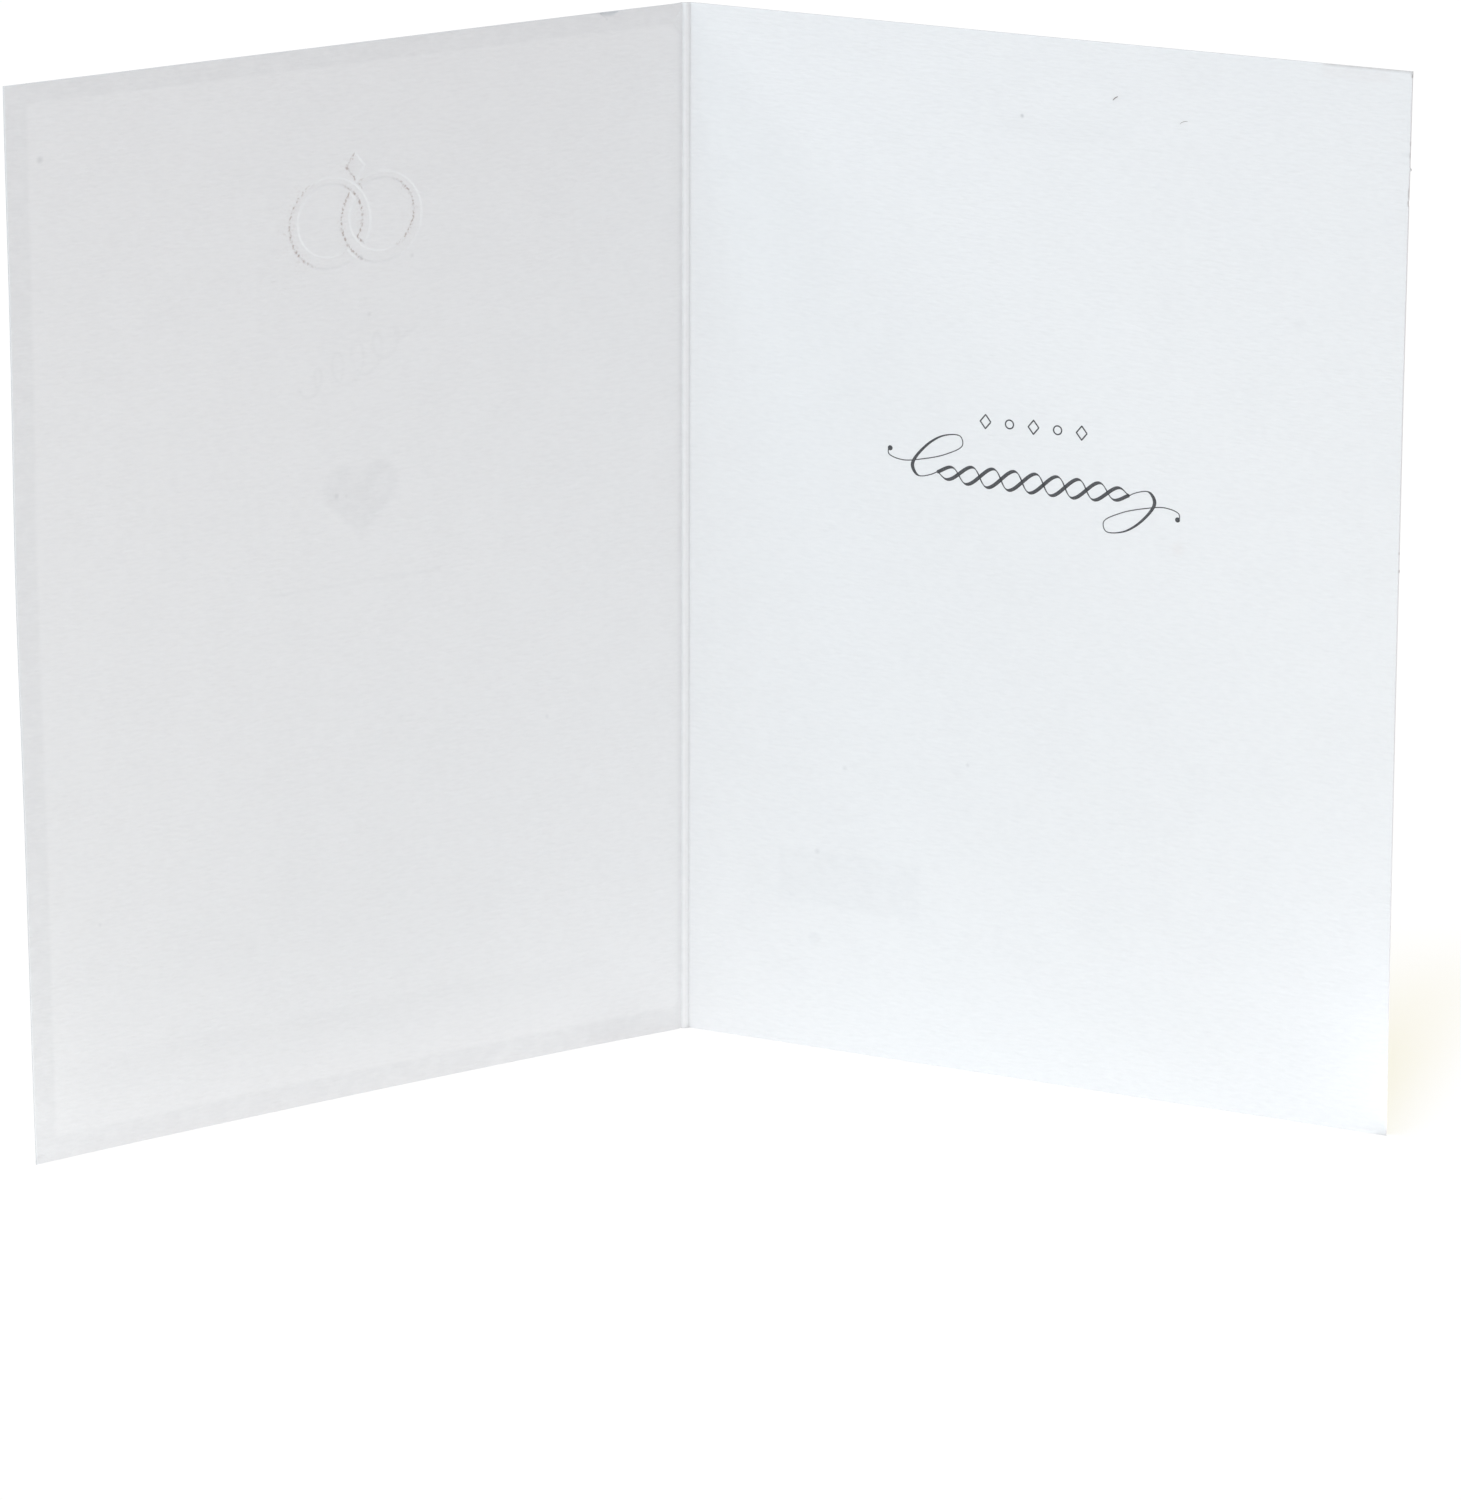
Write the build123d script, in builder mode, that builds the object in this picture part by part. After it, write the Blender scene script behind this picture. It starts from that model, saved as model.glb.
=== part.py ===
from build123d import *
from math import cos, radians, sin, sqrt, tan
import os

# A folded greeting card, standing open on its foot with the inside towards -Y.
# It is one sheet of board, creased along its middle: the front cover is on the -X
# side and the back cover on the +X side. All lengths are in millimetres.

# Sheet
panel_height = 178.0
front_width = 126.2
back_width = 127.8
board = 0.4
opening_angle = 120.8

# Crease: a bead raised on the inside by the creasing rule, with its groove outside
bead_width = 1.5
bead_height = 0.35
groove_depth = 0.12
crease_shift = 0.12  # towards the front cover, from where the two inner faces would meet

# Front cover: how far the board stands outwards of a flat panel
front_bow_foot = 1.15
front_bow_head = 0.45
front_edge_bow = 0.84
front_lean = 1.5

# Back cover: it is bowed and leans inwards
back_bow_foot = -0.05
back_bow_head = -0.52
back_edge_bow = -0.76
back_lean = -1.01

# Ornament pressed into the front cover: two linked rings below a lozenge
relief_depth = 0.18
ornament_height = 149.0
ring_radius = 7.5
ring_spacing = 9.6
ring_bore_radius = 6.0
ring_bore_rise = 0.45
link_gap = 0.45
lozenge_width = 3.4
lozenge_height = 4.4
lozenge_clearance = 0.9

FRONT = -1
BACK = 1
half_angle = radians(opening_angle / 2)
press_reach = front_bow_foot + front_lean + board + relief_depth + 5


def along(side):
    """Direction from the fold towards a cover's free edge."""
    return Vector(side * sin(half_angle), -cos(half_angle))


def outward(side):
    """Direction out of a cover's outer face."""
    return Vector(side * cos(half_angle), sin(half_angle))


def hinge(side):
    """Where the inner face of a cover meets the bead."""
    sideways = side * bead_width / 2 - crease_shift
    return Vector(sideways, -abs(sideways) / tan(half_angle))


def cover_run(side, share, depth):
    """Corner points of a cover's curved face from the bead to the free edge, at a share of its height."""
    if side == FRONT:
        width = front_width
        bow = front_bow_foot + (front_bow_head - front_bow_foot) * share
        lean = front_lean * share + front_edge_bow * 4 * share * (1 - share)
    else:
        width = back_width
        bow = back_bow_foot + (back_bow_head - back_bow_foot) * share
        lean = back_lean * share + back_edge_bow * 4 * share * (1 - share)
    start = hinge(side) + outward(side) * depth
    reach = along(side) * (width - hinge(side).length)
    return [start, start + reach / 2 + outward(side) * 2 * bow, start + reach + outward(side) * lean]


def board_outline(share):
    """The whole sheet seen from above, at a share of its height."""
    chord = (hinge(BACK) - hinge(FRONT)).normalized()
    rearward = Vector(-chord.Y, chord.X)
    middle = (hinge(FRONT) + hinge(BACK)) / 2
    rear = rearward * board
    with BuildSketch() as outline:
        with BuildLine():
            front_inner = Bezier(*reversed(cover_run(FRONT, share, 0)))
            ThreePointArc(hinge(FRONT), middle - rearward * bead_height, hinge(BACK))
            back_inner = Bezier(*cover_run(BACK, share, 0))
            back_outer = Bezier(*reversed(cover_run(BACK, share, board)))
            Line(back_inner @ 1, back_outer @ 0)
            back_shoulder = hinge(BACK) + (outward(BACK) + rearward).normalized() * board
            ThreePointArc(back_outer @ 1, back_shoulder, hinge(BACK) + rear)
            groove = middle + rearward * (board - groove_depth)
            ThreePointArc(hinge(BACK) + rear, groove, hinge(FRONT) + rear)
            front_outer = Bezier(*cover_run(FRONT, share, board))
            front_shoulder = hinge(FRONT) + (outward(FRONT) + rearward).normalized() * board
            ThreePointArc(hinge(FRONT) + rear, front_shoulder, front_outer @ 0)
            Line(front_outer @ 1, front_inner @ 0)
        make_face()
    return outline.sketch


def pressed_outline(share):
    """The front cover alone seen from above, moved outwards by the depth of the relief."""
    with BuildSketch() as outline:
        with BuildLine():
            inner = Bezier(*cover_run(FRONT, share, relief_depth))
            outer = Bezier(*reversed(cover_run(FRONT, share, board + relief_depth)))
            Line(inner @ 1, outer @ 0)
            Line(outer @ 1, inner @ 0)
        make_face()
    return outline.sketch


def ring_outline(middle, radius, bore_radius):
    """A ring whose bore sits a little high, so that its foot is the thick side."""
    with BuildSketch() as outline:
        with Locations((middle, 0)):
            Circle(radius)
        with Locations((middle, ring_bore_rise)):
            Circle(bore_radius, mode=Mode.SUBTRACT)
    return outline.sketch


def linked_ring(side):
    """One ring of the pair, opened where the other passes over it: the left above, the right below."""
    with BuildSketch() as passing:
        add(ring_outline(-side * ring_spacing / 2, ring_radius + link_gap, ring_bore_radius - link_gap))
        with Locations((0, -side * ring_radius)):
            Rectangle(2 * ring_radius, 2 * ring_radius, mode=Mode.INTERSECT)
    with BuildSketch() as ring:
        add(ring_outline(side * ring_spacing / 2, ring_radius, ring_bore_radius))
        add(passing.sketch, mode=Mode.SUBTRACT)
    return ring.sketch


def ornament():
    """The linked rings with the lozenge over them, about the middle of the rings."""
    crossing_height = sqrt(ring_radius**2 - (ring_spacing / 2) ** 2)
    with BuildSketch() as outline:
        add(linked_ring(-1))
        add(linked_ring(1))
        with BuildLine(Location((0, crossing_height + lozenge_clearance + lozenge_height / 2))):
            Polyline(
                (lozenge_width / 2, 0),
                (0, lozenge_height / 2),
                (-lozenge_width / 2, 0),
                (0, -lozenge_height / 2),
                close=True,
            )
        make_face()
    return outline.sketch


# The ornament is drawn on the chord of the front cover, halfway between fold and free edge
ornament_middle = along(FRONT) * front_width / 2 + Vector(0, 0, ornament_height)
ornament_plane = Plane(origin=ornament_middle, x_dir=along(FRONT), z_dir=outward(FRONT))

# The pressed part of the front cover
with BuildPart() as relief:
    for share in (0, 0.5, 1):
        with BuildSketch(Plane.XY.offset(share * panel_height)):
            add(pressed_outline(share))
    loft()
    with BuildSketch(ornament_plane):
        add(ornament())
    extrude(amount=press_reach, both=True, mode=Mode.INTERSECT)

# The whole sheet, with its fold on the Z axis
with BuildPart() as sheet:
    for share in (0, 0.5, 1):
        with BuildSketch(Plane.XY.offset(share * panel_height)):
            add(board_outline(share))
    loft()
    with BuildSketch(ornament_plane):
        add(ornament())
    extrude(amount=press_reach, both=True, mode=Mode.SUBTRACT)
    add(relief.part)

# The card, with its origin under its middle, on what it stands on
extent = sheet.part.bounding_box()
with BuildPart() as card:
    with Locations((-extent.center().X, -extent.center().Y, -extent.min.Z)):
        add(sheet.part)
card.part.label = "card"

os.makedirs("parts", exist_ok=True)
export_step(card.part, "parts/card.step")
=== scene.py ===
"""Dresses a folded greeting card of white felt-marked board, standing open on its foot.

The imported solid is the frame. The sheet is made again here as one fine mesh of the same form, with
soft walls to its pressed ornament, a crushed corner and nicked edges. The ink of the print and two
caught fibres lie on it. Lengths on the card are in millimetres, measured on the sheet from the fold
(negative on the front cover) and from the foot, and become metres in the meshes.
"""

import logging
import math
from collections.abc import Callable, Iterable, Sequence
from dataclasses import dataclass, field, replace
from enum import Enum

import bpy
import numpy as np
from mathutils import Matrix, Vector
from mathutils.geometry import delaunay_2d_cdt


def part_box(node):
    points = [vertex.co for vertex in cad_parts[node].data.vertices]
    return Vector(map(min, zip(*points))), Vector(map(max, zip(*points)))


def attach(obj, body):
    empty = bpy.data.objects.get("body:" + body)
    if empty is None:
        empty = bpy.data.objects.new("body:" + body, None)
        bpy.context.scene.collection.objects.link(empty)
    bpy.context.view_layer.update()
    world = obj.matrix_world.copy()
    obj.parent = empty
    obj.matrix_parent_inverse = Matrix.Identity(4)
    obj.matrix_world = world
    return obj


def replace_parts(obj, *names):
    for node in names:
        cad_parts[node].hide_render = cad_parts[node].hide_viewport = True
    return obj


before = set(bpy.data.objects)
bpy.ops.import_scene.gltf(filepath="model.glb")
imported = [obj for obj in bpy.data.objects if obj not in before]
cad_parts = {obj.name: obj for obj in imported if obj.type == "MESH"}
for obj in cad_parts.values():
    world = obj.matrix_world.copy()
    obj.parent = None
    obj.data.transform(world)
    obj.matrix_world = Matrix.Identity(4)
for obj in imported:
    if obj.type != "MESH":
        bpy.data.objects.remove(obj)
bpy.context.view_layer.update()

Array = np.ndarray
Colour = tuple[float, float, float]
Face = tuple[int, ...]
Place = tuple[float, float]
Span = tuple[float, float]
Shape = Callable[[Array, Array], Array]
Owner = bpy.types.Material | bpy.types.World

MM = 0.001
FRONT_WIDTH = 126.2
BACK_WIDTH = 127.8
WHITE: Colour = (1.0, 1.0, 1.0)
SHEET_MAP = "sheet"


class Side(Enum):
    """A cover, by the sign of its direction from the fold."""

    FRONT = -1
    BACK = 1


class Surface(Enum):
    """A surface of the sheet, by the slot that its material has on the mesh."""

    INSIDE = 0
    FRONT = 1
    BACK = 2
    EDGE = 3


class Mask(Enum):
    """What is painted on the sheet's points for its materials to read."""

    PRINT = "print"
    FOIL = "foil"
    # stains and specks, and painted shade in the crease's valley beside the back cover
    STAIN_AND_CREASE_SHADE = "stain_and_crease_shade"
    WARM = "warm"
    WEAR = "wear"
    # rubbed foil colour, with painted shade, on the ornament's walls that face the fold
    RUB_AND_WALL_SHADE = "rub_and_wall_shade"
    # painted highlight along the crest of the fold's bead
    PAINTED_CREST_HIGHLIGHT = "painted_crest_highlight"


def smooth(low: float, high: float, value: Array) -> Array:
    """A smooth step from 0 at low to 1 at high."""
    share = np.clip((value - low) / (high - low), 0.0, 1.0)
    return share * share * (3.0 - 2.0 * share)


def arched(share: Array) -> Array:
    """A parabola that is 0 at both ends and 1 halfway."""
    return 4 * share * (1 - share)


def hump(distance: Array, length: float, power: int = 2) -> Array:
    """A bell that is 1 in its middle. A higher power gives it a flatter top and steeper sides."""
    return np.exp(-((distance / length) ** power))


def irregular(place: Array, quick: float, slow: float, phase: float) -> Array:
    """A wavering line between -1 and 1: a slow sine times a quick one, in radians to the millimetre."""
    return np.sin(place * quick) * np.sin(place * slow + phase)


def crossings(columns: Array, rows: Array) -> Array:
    """Every crossing of columns and rows, as rows of x and y."""
    return np.stack(np.meshgrid(columns, rows), -1).reshape(-1, 2)


def circle(radius: float, count: int) -> Array:
    """Points round a circle about the origin, the last of them on the first."""
    angle = np.linspace(0.0, 2 * np.pi, count)
    return radius * np.stack([np.cos(angle), np.sin(angle)], 1)


def arc_through(start: Array, crown: Array, end: Array, share: Array) -> Array:
    """Points on the arc from start to end that passes through crown, which is above the chord's middle.

    Args:
        start: first end of the arc, in plan.
        crown: the arc's highest point, in plan.
        end: last end of the arc, in plan.
        share: how far along the arc each point is, from 0 to 1.

    Returns:
        One row for each share.
    """
    half_chord = (end - start) / 2
    rise = crown - (start + end) / 2
    rise_length, chord_length = np.linalg.norm(rise), np.linalg.norm(half_chord)
    radius = (chord_length**2 + rise_length**2) / (2 * rise_length)
    centre = crown - rise / rise_length * radius
    reach = math.atan2(chord_length, radius - rise_length)
    angle = (share * 2 - 1)[:, None] * reach
    return centre + radius * (np.cos(angle) * rise / rise_length + np.sin(angle) * half_chord / chord_length)


def swung(direction: Array, towards: Array, share: Array) -> Array:
    """Unit vectors that swing in plan from one direction to another.

    Args:
        direction: unit vector at share 0.
        towards: unit vector at share 1.
        share: how far each vector has swung.

    Returns:
        One row for each share.
    """
    first = math.atan2(direction[1], direction[0])
    turn = math.atan2(towards[1], towards[0]) - first
    angle = first + turn * share
    return np.stack([np.cos(angle), np.sin(angle)], 1)


def disc(across: float, up: float, radius: float) -> Shape:
    """Signed distance to a disc, negative inside."""
    return lambda x, y: np.hypot(x - across, y - up) - radius


def outside(shape: Shape) -> Shape:
    """Signed distance to all that a shape leaves free."""
    return lambda x, y: -shape(x, y)


def box(left: float, right: float, low: float, high: float) -> Shape:
    """Signed distance to an upright rectangle, negative inside.

    Args:
        left: distance from the fold where it starts.
        right: distance from the fold where it ends.
        low: height of its foot.
        high: height of its head.

    Returns:
        The shape.
    """
    def distance(x: Array, y: Array) -> Array:
        """Distance outside the rectangle, or minus the distance to its nearest side.

        Args:
            x: distances from the fold.
            y: heights.

        Returns:
            Distances, negative inside.
        """
        over = np.stack([np.abs(x - (left + right) / 2) - (right - left) / 2,
                         np.abs(y - (low + high) / 2) - (high - low) / 2])
        return np.linalg.norm(np.maximum(over, 0.0), axis=0) + np.minimum(over.max(0), 0.0)
    return distance


def heart(across: float, up: float, lobe: float, spread: float, drop: float, rounding: float) -> Shape:
    """Signed distance to a heart, negative inside.

    Args:
        across: where its middle is.
        up: height of the middles of its lobes.
        lobe: radius of each lobe.
        spread: distance from its middle to the middle of a lobe.
        drop: how far its point lies below the middles of the lobes.
        rounding: how much it is swelled, which rounds its point.

    Returns:
        The shape.
    """
    reach = math.hypot(spread, drop)
    lean = math.atan2(spread, drop) + math.asin(lobe / reach)
    length = math.sqrt(reach**2 - lobe**2)

    def distance(x: Array, y: Array) -> Array:
        """The nearer of the lobes and the wedge below them, which meets each lobe where it touches it.

        Args:
            x: distances from the fold.
            y: heights.

        Returns:
            Distances, negative inside.
        """
        out, rise = np.abs(x - across), y - up
        lobes = np.hypot(out - spread, rise) - lobe
        side = out * math.cos(lean) - (rise + drop) * math.sin(lean)
        past_touch = out * math.sin(lean) + (rise + drop) * math.cos(lean) - length
        return np.minimum(lobes, np.maximum.reduce([side, past_touch, rise])) - rounding
    return distance


def soft_edge(shape: Shape, grid: Array, softness: float, pitch: float) -> Array:
    """The points of a grid on a shape's soft edge, with a row or two more on both sides of it."""
    spare_rows = 1.5
    return grid[np.abs(shape(grid[:, 0], grid[:, 1])) < softness + spare_rows * pitch]


@dataclass(frozen=True)
class Cover:
    """A cover of the card: its width, and how far its board stands outwards of a flat panel."""

    side: Side
    width: float
    bow_foot: float
    bow_head: float
    edge_bow: float
    lean: float
    edge_wave: float = 0.0
    wave_count: int = 2
    wave_crest: float = 0.04

    def stand_off(self, run: Array, share: Array) -> Array:
        """How far the board stands outwards.

        Args:
            run: share of the way from the bead to the free edge.
            share: share of the way from the foot to the head.

        Returns:
            Millimetres outwards of the flat panel.
        """
        bow = self.bow_foot + (self.bow_head - self.bow_foot) * share
        lean = self.lean * share + self.edge_bow * arched(share)
        wave = self.edge_wave * np.cos(2 * np.pi * self.wave_count * (share - self.wave_crest))
        return bow * arched(run) + (lean + wave) * run**2


@dataclass(frozen=True)
class PressedOrnament:
    """Two linked rings with a lozenge over them, pressed outwards into the front cover."""

    across: float = FRONT_WIDTH / 2
    height: float = 149.0
    depth: float = 0.18
    wall: float = 0.4
    ring_radius: float = 7.5
    ring_spacing: float = 9.6
    bore_radius: float = 6.0
    bore_rise: float = 0.45
    link_gap: float = 0.45
    lozenge_width: float = 3.4
    lozenge_height: float = 4.4
    lozenge_clearance: float = 0.9
    # which walls get the painted shade and the rubbed foil colour
    shaded_wall_facing: Span = (0.25, 0.85)
    shaded_wall_core: float = 0.1

    def ring(self, side: int, spare: float, x: Array, y: Array) -> Array:
        """Signed distance to a ring whose bore sits a little high.

        Args:
            side: -1 for the ring nearer the fold, 1 for the other.
            spare: how much wider than itself the ring is taken.
            x: distances from the ornament's middle.
            y: heights above the rings' middles.

        Returns:
            Distances, negative inside.
        """
        out = x - side * self.ring_spacing / 2
        outer = np.hypot(out, y) - self.ring_radius - spare
        bore = self.bore_radius - spare - np.hypot(out, y - self.bore_rise)
        return np.maximum(outer, bore)

    def linked_ring(self, side: int, x: Array, y: Array) -> Array:
        """Signed distance to a ring of the pair, opened where the other passes over it."""
        passing = np.maximum(self.ring(-side, self.link_gap, x, y), side * y)
        return np.maximum(self.ring(side, 0.0, x, y), -passing)

    def lozenge(self, x: Array, y: Array) -> Array:
        """Signed distance to the lozenge over the crossing of the rings.

        Args:
            x: distances from the ornament's middle.
            y: heights above the rings' middles.

        Returns:
            Distances, negative inside.
        """
        crossing = math.sqrt(self.ring_radius**2 - (self.ring_spacing / 2) ** 2)
        wide, tall = self.lozenge_width / 2, self.lozenge_height / 2
        level = y - crossing - self.lozenge_clearance - tall
        return (np.abs(x) / wide + np.abs(level) / tall - 1) * wide * tall / math.hypot(wide, tall)

    def distance(self, x: Array, y: Array) -> Array:
        """Signed distance to the ornament on the front cover, negative inside.

        Args:
            x: distances from the fold, on the front cover.
            y: heights.

        Returns:
            Distances.
        """
        x, y = x - self.across, y - self.height
        rings = np.minimum(self.linked_ring(-1, x, y), self.linked_ring(1, x, y))
        return np.minimum(rings, self.lozenge(x, y))

    def pressed(self, x: Array, y: Array) -> Array:
        """How far the board is pressed outwards at points on the front cover."""
        return self.depth * smooth(self.wall / 2, -self.wall / 2, self.distance(x, y))

    def rubbed_and_shaded(self, x: Array, y: Array) -> Array:
        """How much rubbed foil colour and painted shade lie in the walls that face the fold, from 0 to 1.

        Args:
            x: distances from the fold, on the front cover.
            y: heights.

        Returns:
            Amounts, one for each point.
        """
        step = 0.05
        facing = (self.distance(x + step, y) - self.distance(x - step, y)) / (2 * step)
        in_wall = smooth(self.wall, self.shaded_wall_core, np.abs(self.distance(x, y)))
        return smooth(*self.shaded_wall_facing, facing) * in_wall


@dataclass(frozen=True)
class EdgeMark:
    """A dirty mark on the back cover's free edge: a burr, or a dent if its reach is negative."""

    height: float
    reach: float
    length: float
    dirt: float

    def amount(self, up: Array) -> Array:
        """How much of the mark there is at heights on the cover, from 0 to 1."""
        return hump(up - self.height, self.length, 4)


@dataclass(frozen=True)
class Wear:
    """The crushed upper corner of the back cover, and its free edge, which is a little short and marked."""

    crush_start: float = 112.2
    crush_fade: float = 1.5
    crush_depth: float = 0.2
    crush_band: float = 0.5
    full_crush: float = 0.1
    raggedness: float = 0.15
    ragged_waves: tuple[float, float, float] = (2.9, 1.13, 1.0)
    corner_band: float = 0.45
    corner_drop: float = 0.8
    short_cut: float = 0.08
    dirt_band: Span = (0.35, 0.05)
    marks: tuple[EdgeMark, ...] = (
        EdgeMark(166.4, 0.0, 0.4, 0.5), EdgeMark(164.5, -0.03, 0.5, 0.6), EdgeMark(162.2, 0.2, 0.25, 0.7),
        EdgeMark(158.4, -0.05, 1.0, 0.9), EdgeMark(156.8, -0.13, 0.5, 1.0), EdgeMark(99.4, 0.0, 0.25, 0.6),
        EdgeMark(96.4, 0.06, 0.28, 1.0), EdgeMark(177.35, 0.0, 0.35, 1.6))

    def stands_out(self, up: Array) -> Array:
        """How far the free edge stands out at heights on the back cover."""
        return sum((mark.reach * mark.amount(up) for mark in self.marks), np.full(len(up), -self.short_cut))

    def dirtied(self, up: Array, inward: Array) -> Array:
        """How dirty the board is at heights on the back cover and at distances in from its free edge."""
        dirt = sum((mark.dirt * mark.amount(up) for mark in self.marks), np.zeros(len(up)))
        return dirt * smooth(*self.dirt_band, inward)

    def crushed(self, across: Array, inward: Array, below: Array) -> Array:
        """How crushed the board is along the head and down the free edge at the corner.

        Args:
            across: distances from the fold, towards the back cover's free edge.
            inward: distances in from that edge.
            below: distances down from the head.

        Returns:
            Shares of the full crush.
        """
        ragged = 1 - self.raggedness * (1 - irregular(across, *self.ragged_waves))
        head = smooth(self.crush_band, self.full_crush, below)
        head *= smooth(self.crush_start, self.crush_start + self.crush_fade, across)
        free = smooth(self.corner_band, self.full_crush, inward)
        free *= smooth(self.corner_drop, self.corner_drop / 2, below)
        return np.maximum(head * ragged, free)


@dataclass
class FoldedSheet:
    """The sheet of board: two covers joined by a creased fold, standing on its foot."""

    height: float = 178.0
    board: float = 0.4
    opening: float = 120.8
    bead_width: float = 1.38
    bead_height: float = 0.35
    bead_unevenness: float = 0.03
    bead_waves: tuple[float, float, float] = (0.61, 0.173, 0.8)
    groove_depth: float = 0.12
    shoulder_share: float = 0.2
    crease_shift: float = 0.12
    rim_radius: float = 0.1
    waviness: float = 0.03
    waviness_start: float = 12.0
    ripples: tuple[tuple[float, float, float], ...] = ((0.13, 0.05, 0.0), (-0.04, 0.11, 2.0))
    edge_blend: float = 0.5
    fold_lean: float = 0.34
    swell_height: float = 0.36
    swell_rise: float = 1.3
    swell_fade: float = 14.0
    front: Cover = Cover(Side.FRONT, FRONT_WIDTH, 1.15, 0.45, 0.84, 1.5, 0.2)
    back: Cover = Cover(Side.BACK, BACK_WIDTH, -0.05, -0.52, -0.76, -1.01)
    ornament: PressedOrnament = PressedOrnament()
    wear: Wear = Wear()
    origin: Array = field(default_factory=lambda: np.zeros(3))

    def seat(self, low: Sequence[float], high: Sequence[float]) -> None:
        """Moves the sheet's origin so that it stands in the middle of the solid's box.

        Args:
            low: lowest corner of the solid, in metres.
            high: highest corner of the solid, in metres.
        """
        plain = replace(self, waviness=0.0, swell_height=0.0, fold_lean=0.0,
                        wear=Wear(short_cut=0.0, marks=()), front=replace(self.front, edge_wave=0.0))
        columns = np.array([-self.front.width, *self.crease_span(), self.back.width])
        edges = crossings(columns, np.linspace(0.0, self.height, 90))
        places = np.concatenate([plain.place(edges, np.full(len(edges), depth))
                                 for depth in (0.0, self.board)])
        middle = (places.min(0) + places.max(0)) / 2
        solid = (np.array(low) + np.array(high)) / 2 / MM
        self.origin = np.array([solid[0] - middle[0], solid[1] - middle[1], 0.0])

    @property
    def half_angle(self) -> float:
        """Half the opening angle, in radians."""
        return math.radians(self.opening / 2)

    def along(self, side: Side) -> Array:
        """Direction in plan from the fold towards a cover's free edge."""
        return np.array([side.value * math.sin(self.half_angle), -math.cos(self.half_angle)])

    def outward(self, side: Side) -> Array:
        """Direction in plan out of a cover's outer face."""
        return np.array([side.value * math.cos(self.half_angle), math.sin(self.half_angle)])

    def hinge(self, side: Side) -> Array:
        """Where the inner face of a cover meets the bead, in plan."""
        sideways = side.value * self.bead_width / 2 - self.crease_shift
        return np.array([sideways, -abs(sideways) / math.tan(self.half_angle)])

    def rearward(self) -> Array:
        """Direction in plan from the bead to the groove behind it."""
        chord = self.hinge(Side.BACK) - self.hinge(Side.FRONT)
        return np.array([-chord[1], chord[0]]) / np.linalg.norm(chord)

    def crease_reach(self, side: Side) -> float:
        """Distance on the sheet from the fold's middle line to a hinge."""
        return float(np.linalg.norm(self.hinge(side)))

    def crease_span(self) -> Span:
        """Where the crease starts and ends on the flat sheet."""
        return -self.crease_reach(Side.FRONT), self.crease_reach(Side.BACK)

    def crease_share(self, across: Array) -> Array:
        """Shares of the way across the crease, from the front cover's hinge to the back cover's."""
        start, end = self.crease_span()
        return (across - start) / (end - start)

    def swell(self, run: Array) -> Array:
        """How far the front cover swells inwards, at distances from the bead that it drops to."""
        return self.swell_height * np.tanh(run / self.swell_rise) * np.exp(-run / self.swell_fade)

    def cover_plan(self, cover: Cover, distance: Array, up: Array, depth: Array) -> Array:
        """Points of a cover in plan.

        Args:
            cover: the cover.
            distance: millimetres from the fold.
            up: millimetres above the foot.
            depth: millimetres behind the inner face.

        Returns:
            One row of x and y for each point.
        """
        side, start = cover.side, self.crease_reach(cover.side)
        off = cover.stand_off((distance - start) / (cover.width - start), up / self.height) + depth
        waves = sum(np.sin(distance * aslant + up * upright + phase)
                    for aslant, upright, phase in self.ripples)
        off += self.waviness * smooth(0.0, self.waviness_start, distance - start) * waves
        if side is Side.FRONT:
            off += self.ornament.pressed(distance, up) - self.swell(distance - start)
        else:
            by_edge = smooth(cover.width - self.edge_blend, cover.width, distance)
            distance = distance + self.wear.stands_out(up) * by_edge
        run = (distance - start)[:, None]
        return self.hinge(side) + run * self.along(side) + off[:, None] * self.outward(side)

    def crease_plan(self, share: Array, up: Array, depth: Array) -> Array:
        """Points of the crease in plan: the bead inside, and the shoulders and groove outside.

        Args:
            share: share of the way from the front cover's hinge to the back cover's.
            up: millimetres above the foot.
            depth: millimetres behind the inner face.

        Returns:
            One row of x and y for each point.
        """
        front, back, rear = self.hinge(Side.FRONT), self.hinge(Side.BACK), self.rearward()
        middle, shoulder = (front + back) / 2, self.shoulder_share
        inner = arc_through(front, middle - rear * self.bead_height, back, share)
        uneven = self.bead_unevenness * irregular(up, *self.bead_waves) * np.sin(np.pi * share)
        inner = inner - uneven[:, None] * rear
        groove = middle + rear * (self.board - self.groove_depth)
        groove_share = np.clip((share - shoulder) / (1 - 2 * shoulder), 0.0, 1.0)
        outer = arc_through(front + rear * self.board, groove, back + rear * self.board, groove_share)
        for side, swing in ((Side.FRONT, share / shoulder), (Side.BACK, (1 - share) / shoulder)):
            here = swing < 1
            outer[here] = self.hinge(side) + self.board * swung(self.outward(side), rear, swing[here])
        return inner + (outer - inner) * (depth / self.board)[:, None]

    def place(self, flat: Array, depth: Array) -> Array:
        """Points of the sheet where it stands.

        Args:
            flat: rows of distance from the fold, negative on the front cover, and height.
            depth: millimetres behind the inner face, one for each row.

        Returns:
            One row of x, y and z for each point, in millimetres.
        """
        across, up = flat[:, 0], flat[:, 1]
        start, end = self.crease_span()
        plan = np.zeros((len(flat), 2))
        for cover, here in ((self.front, across <= start), (self.back, across >= end)):
            plan[here] = self.cover_plan(cover, np.abs(across[here]), up[here], depth[here])
        crease = (across > start) & (across < end)
        plan[crease] = self.crease_plan(self.crease_share(across[crease]), up[crease], depth[crease])
        width = np.where(across < 0, self.front.width, self.back.width)
        plan[:, 0] += self.fold_lean * (up / self.height - 0.5) * (1 - np.abs(across) / width)
        return np.column_stack([plan, up]) + self.origin

    def crushed(self, flat: Array) -> Array:
        """How crushed the board is at points on the sheet."""
        return self.wear.crushed(flat[:, 0], self.back.width - flat[:, 0], self.height - flat[:, 1])

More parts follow.
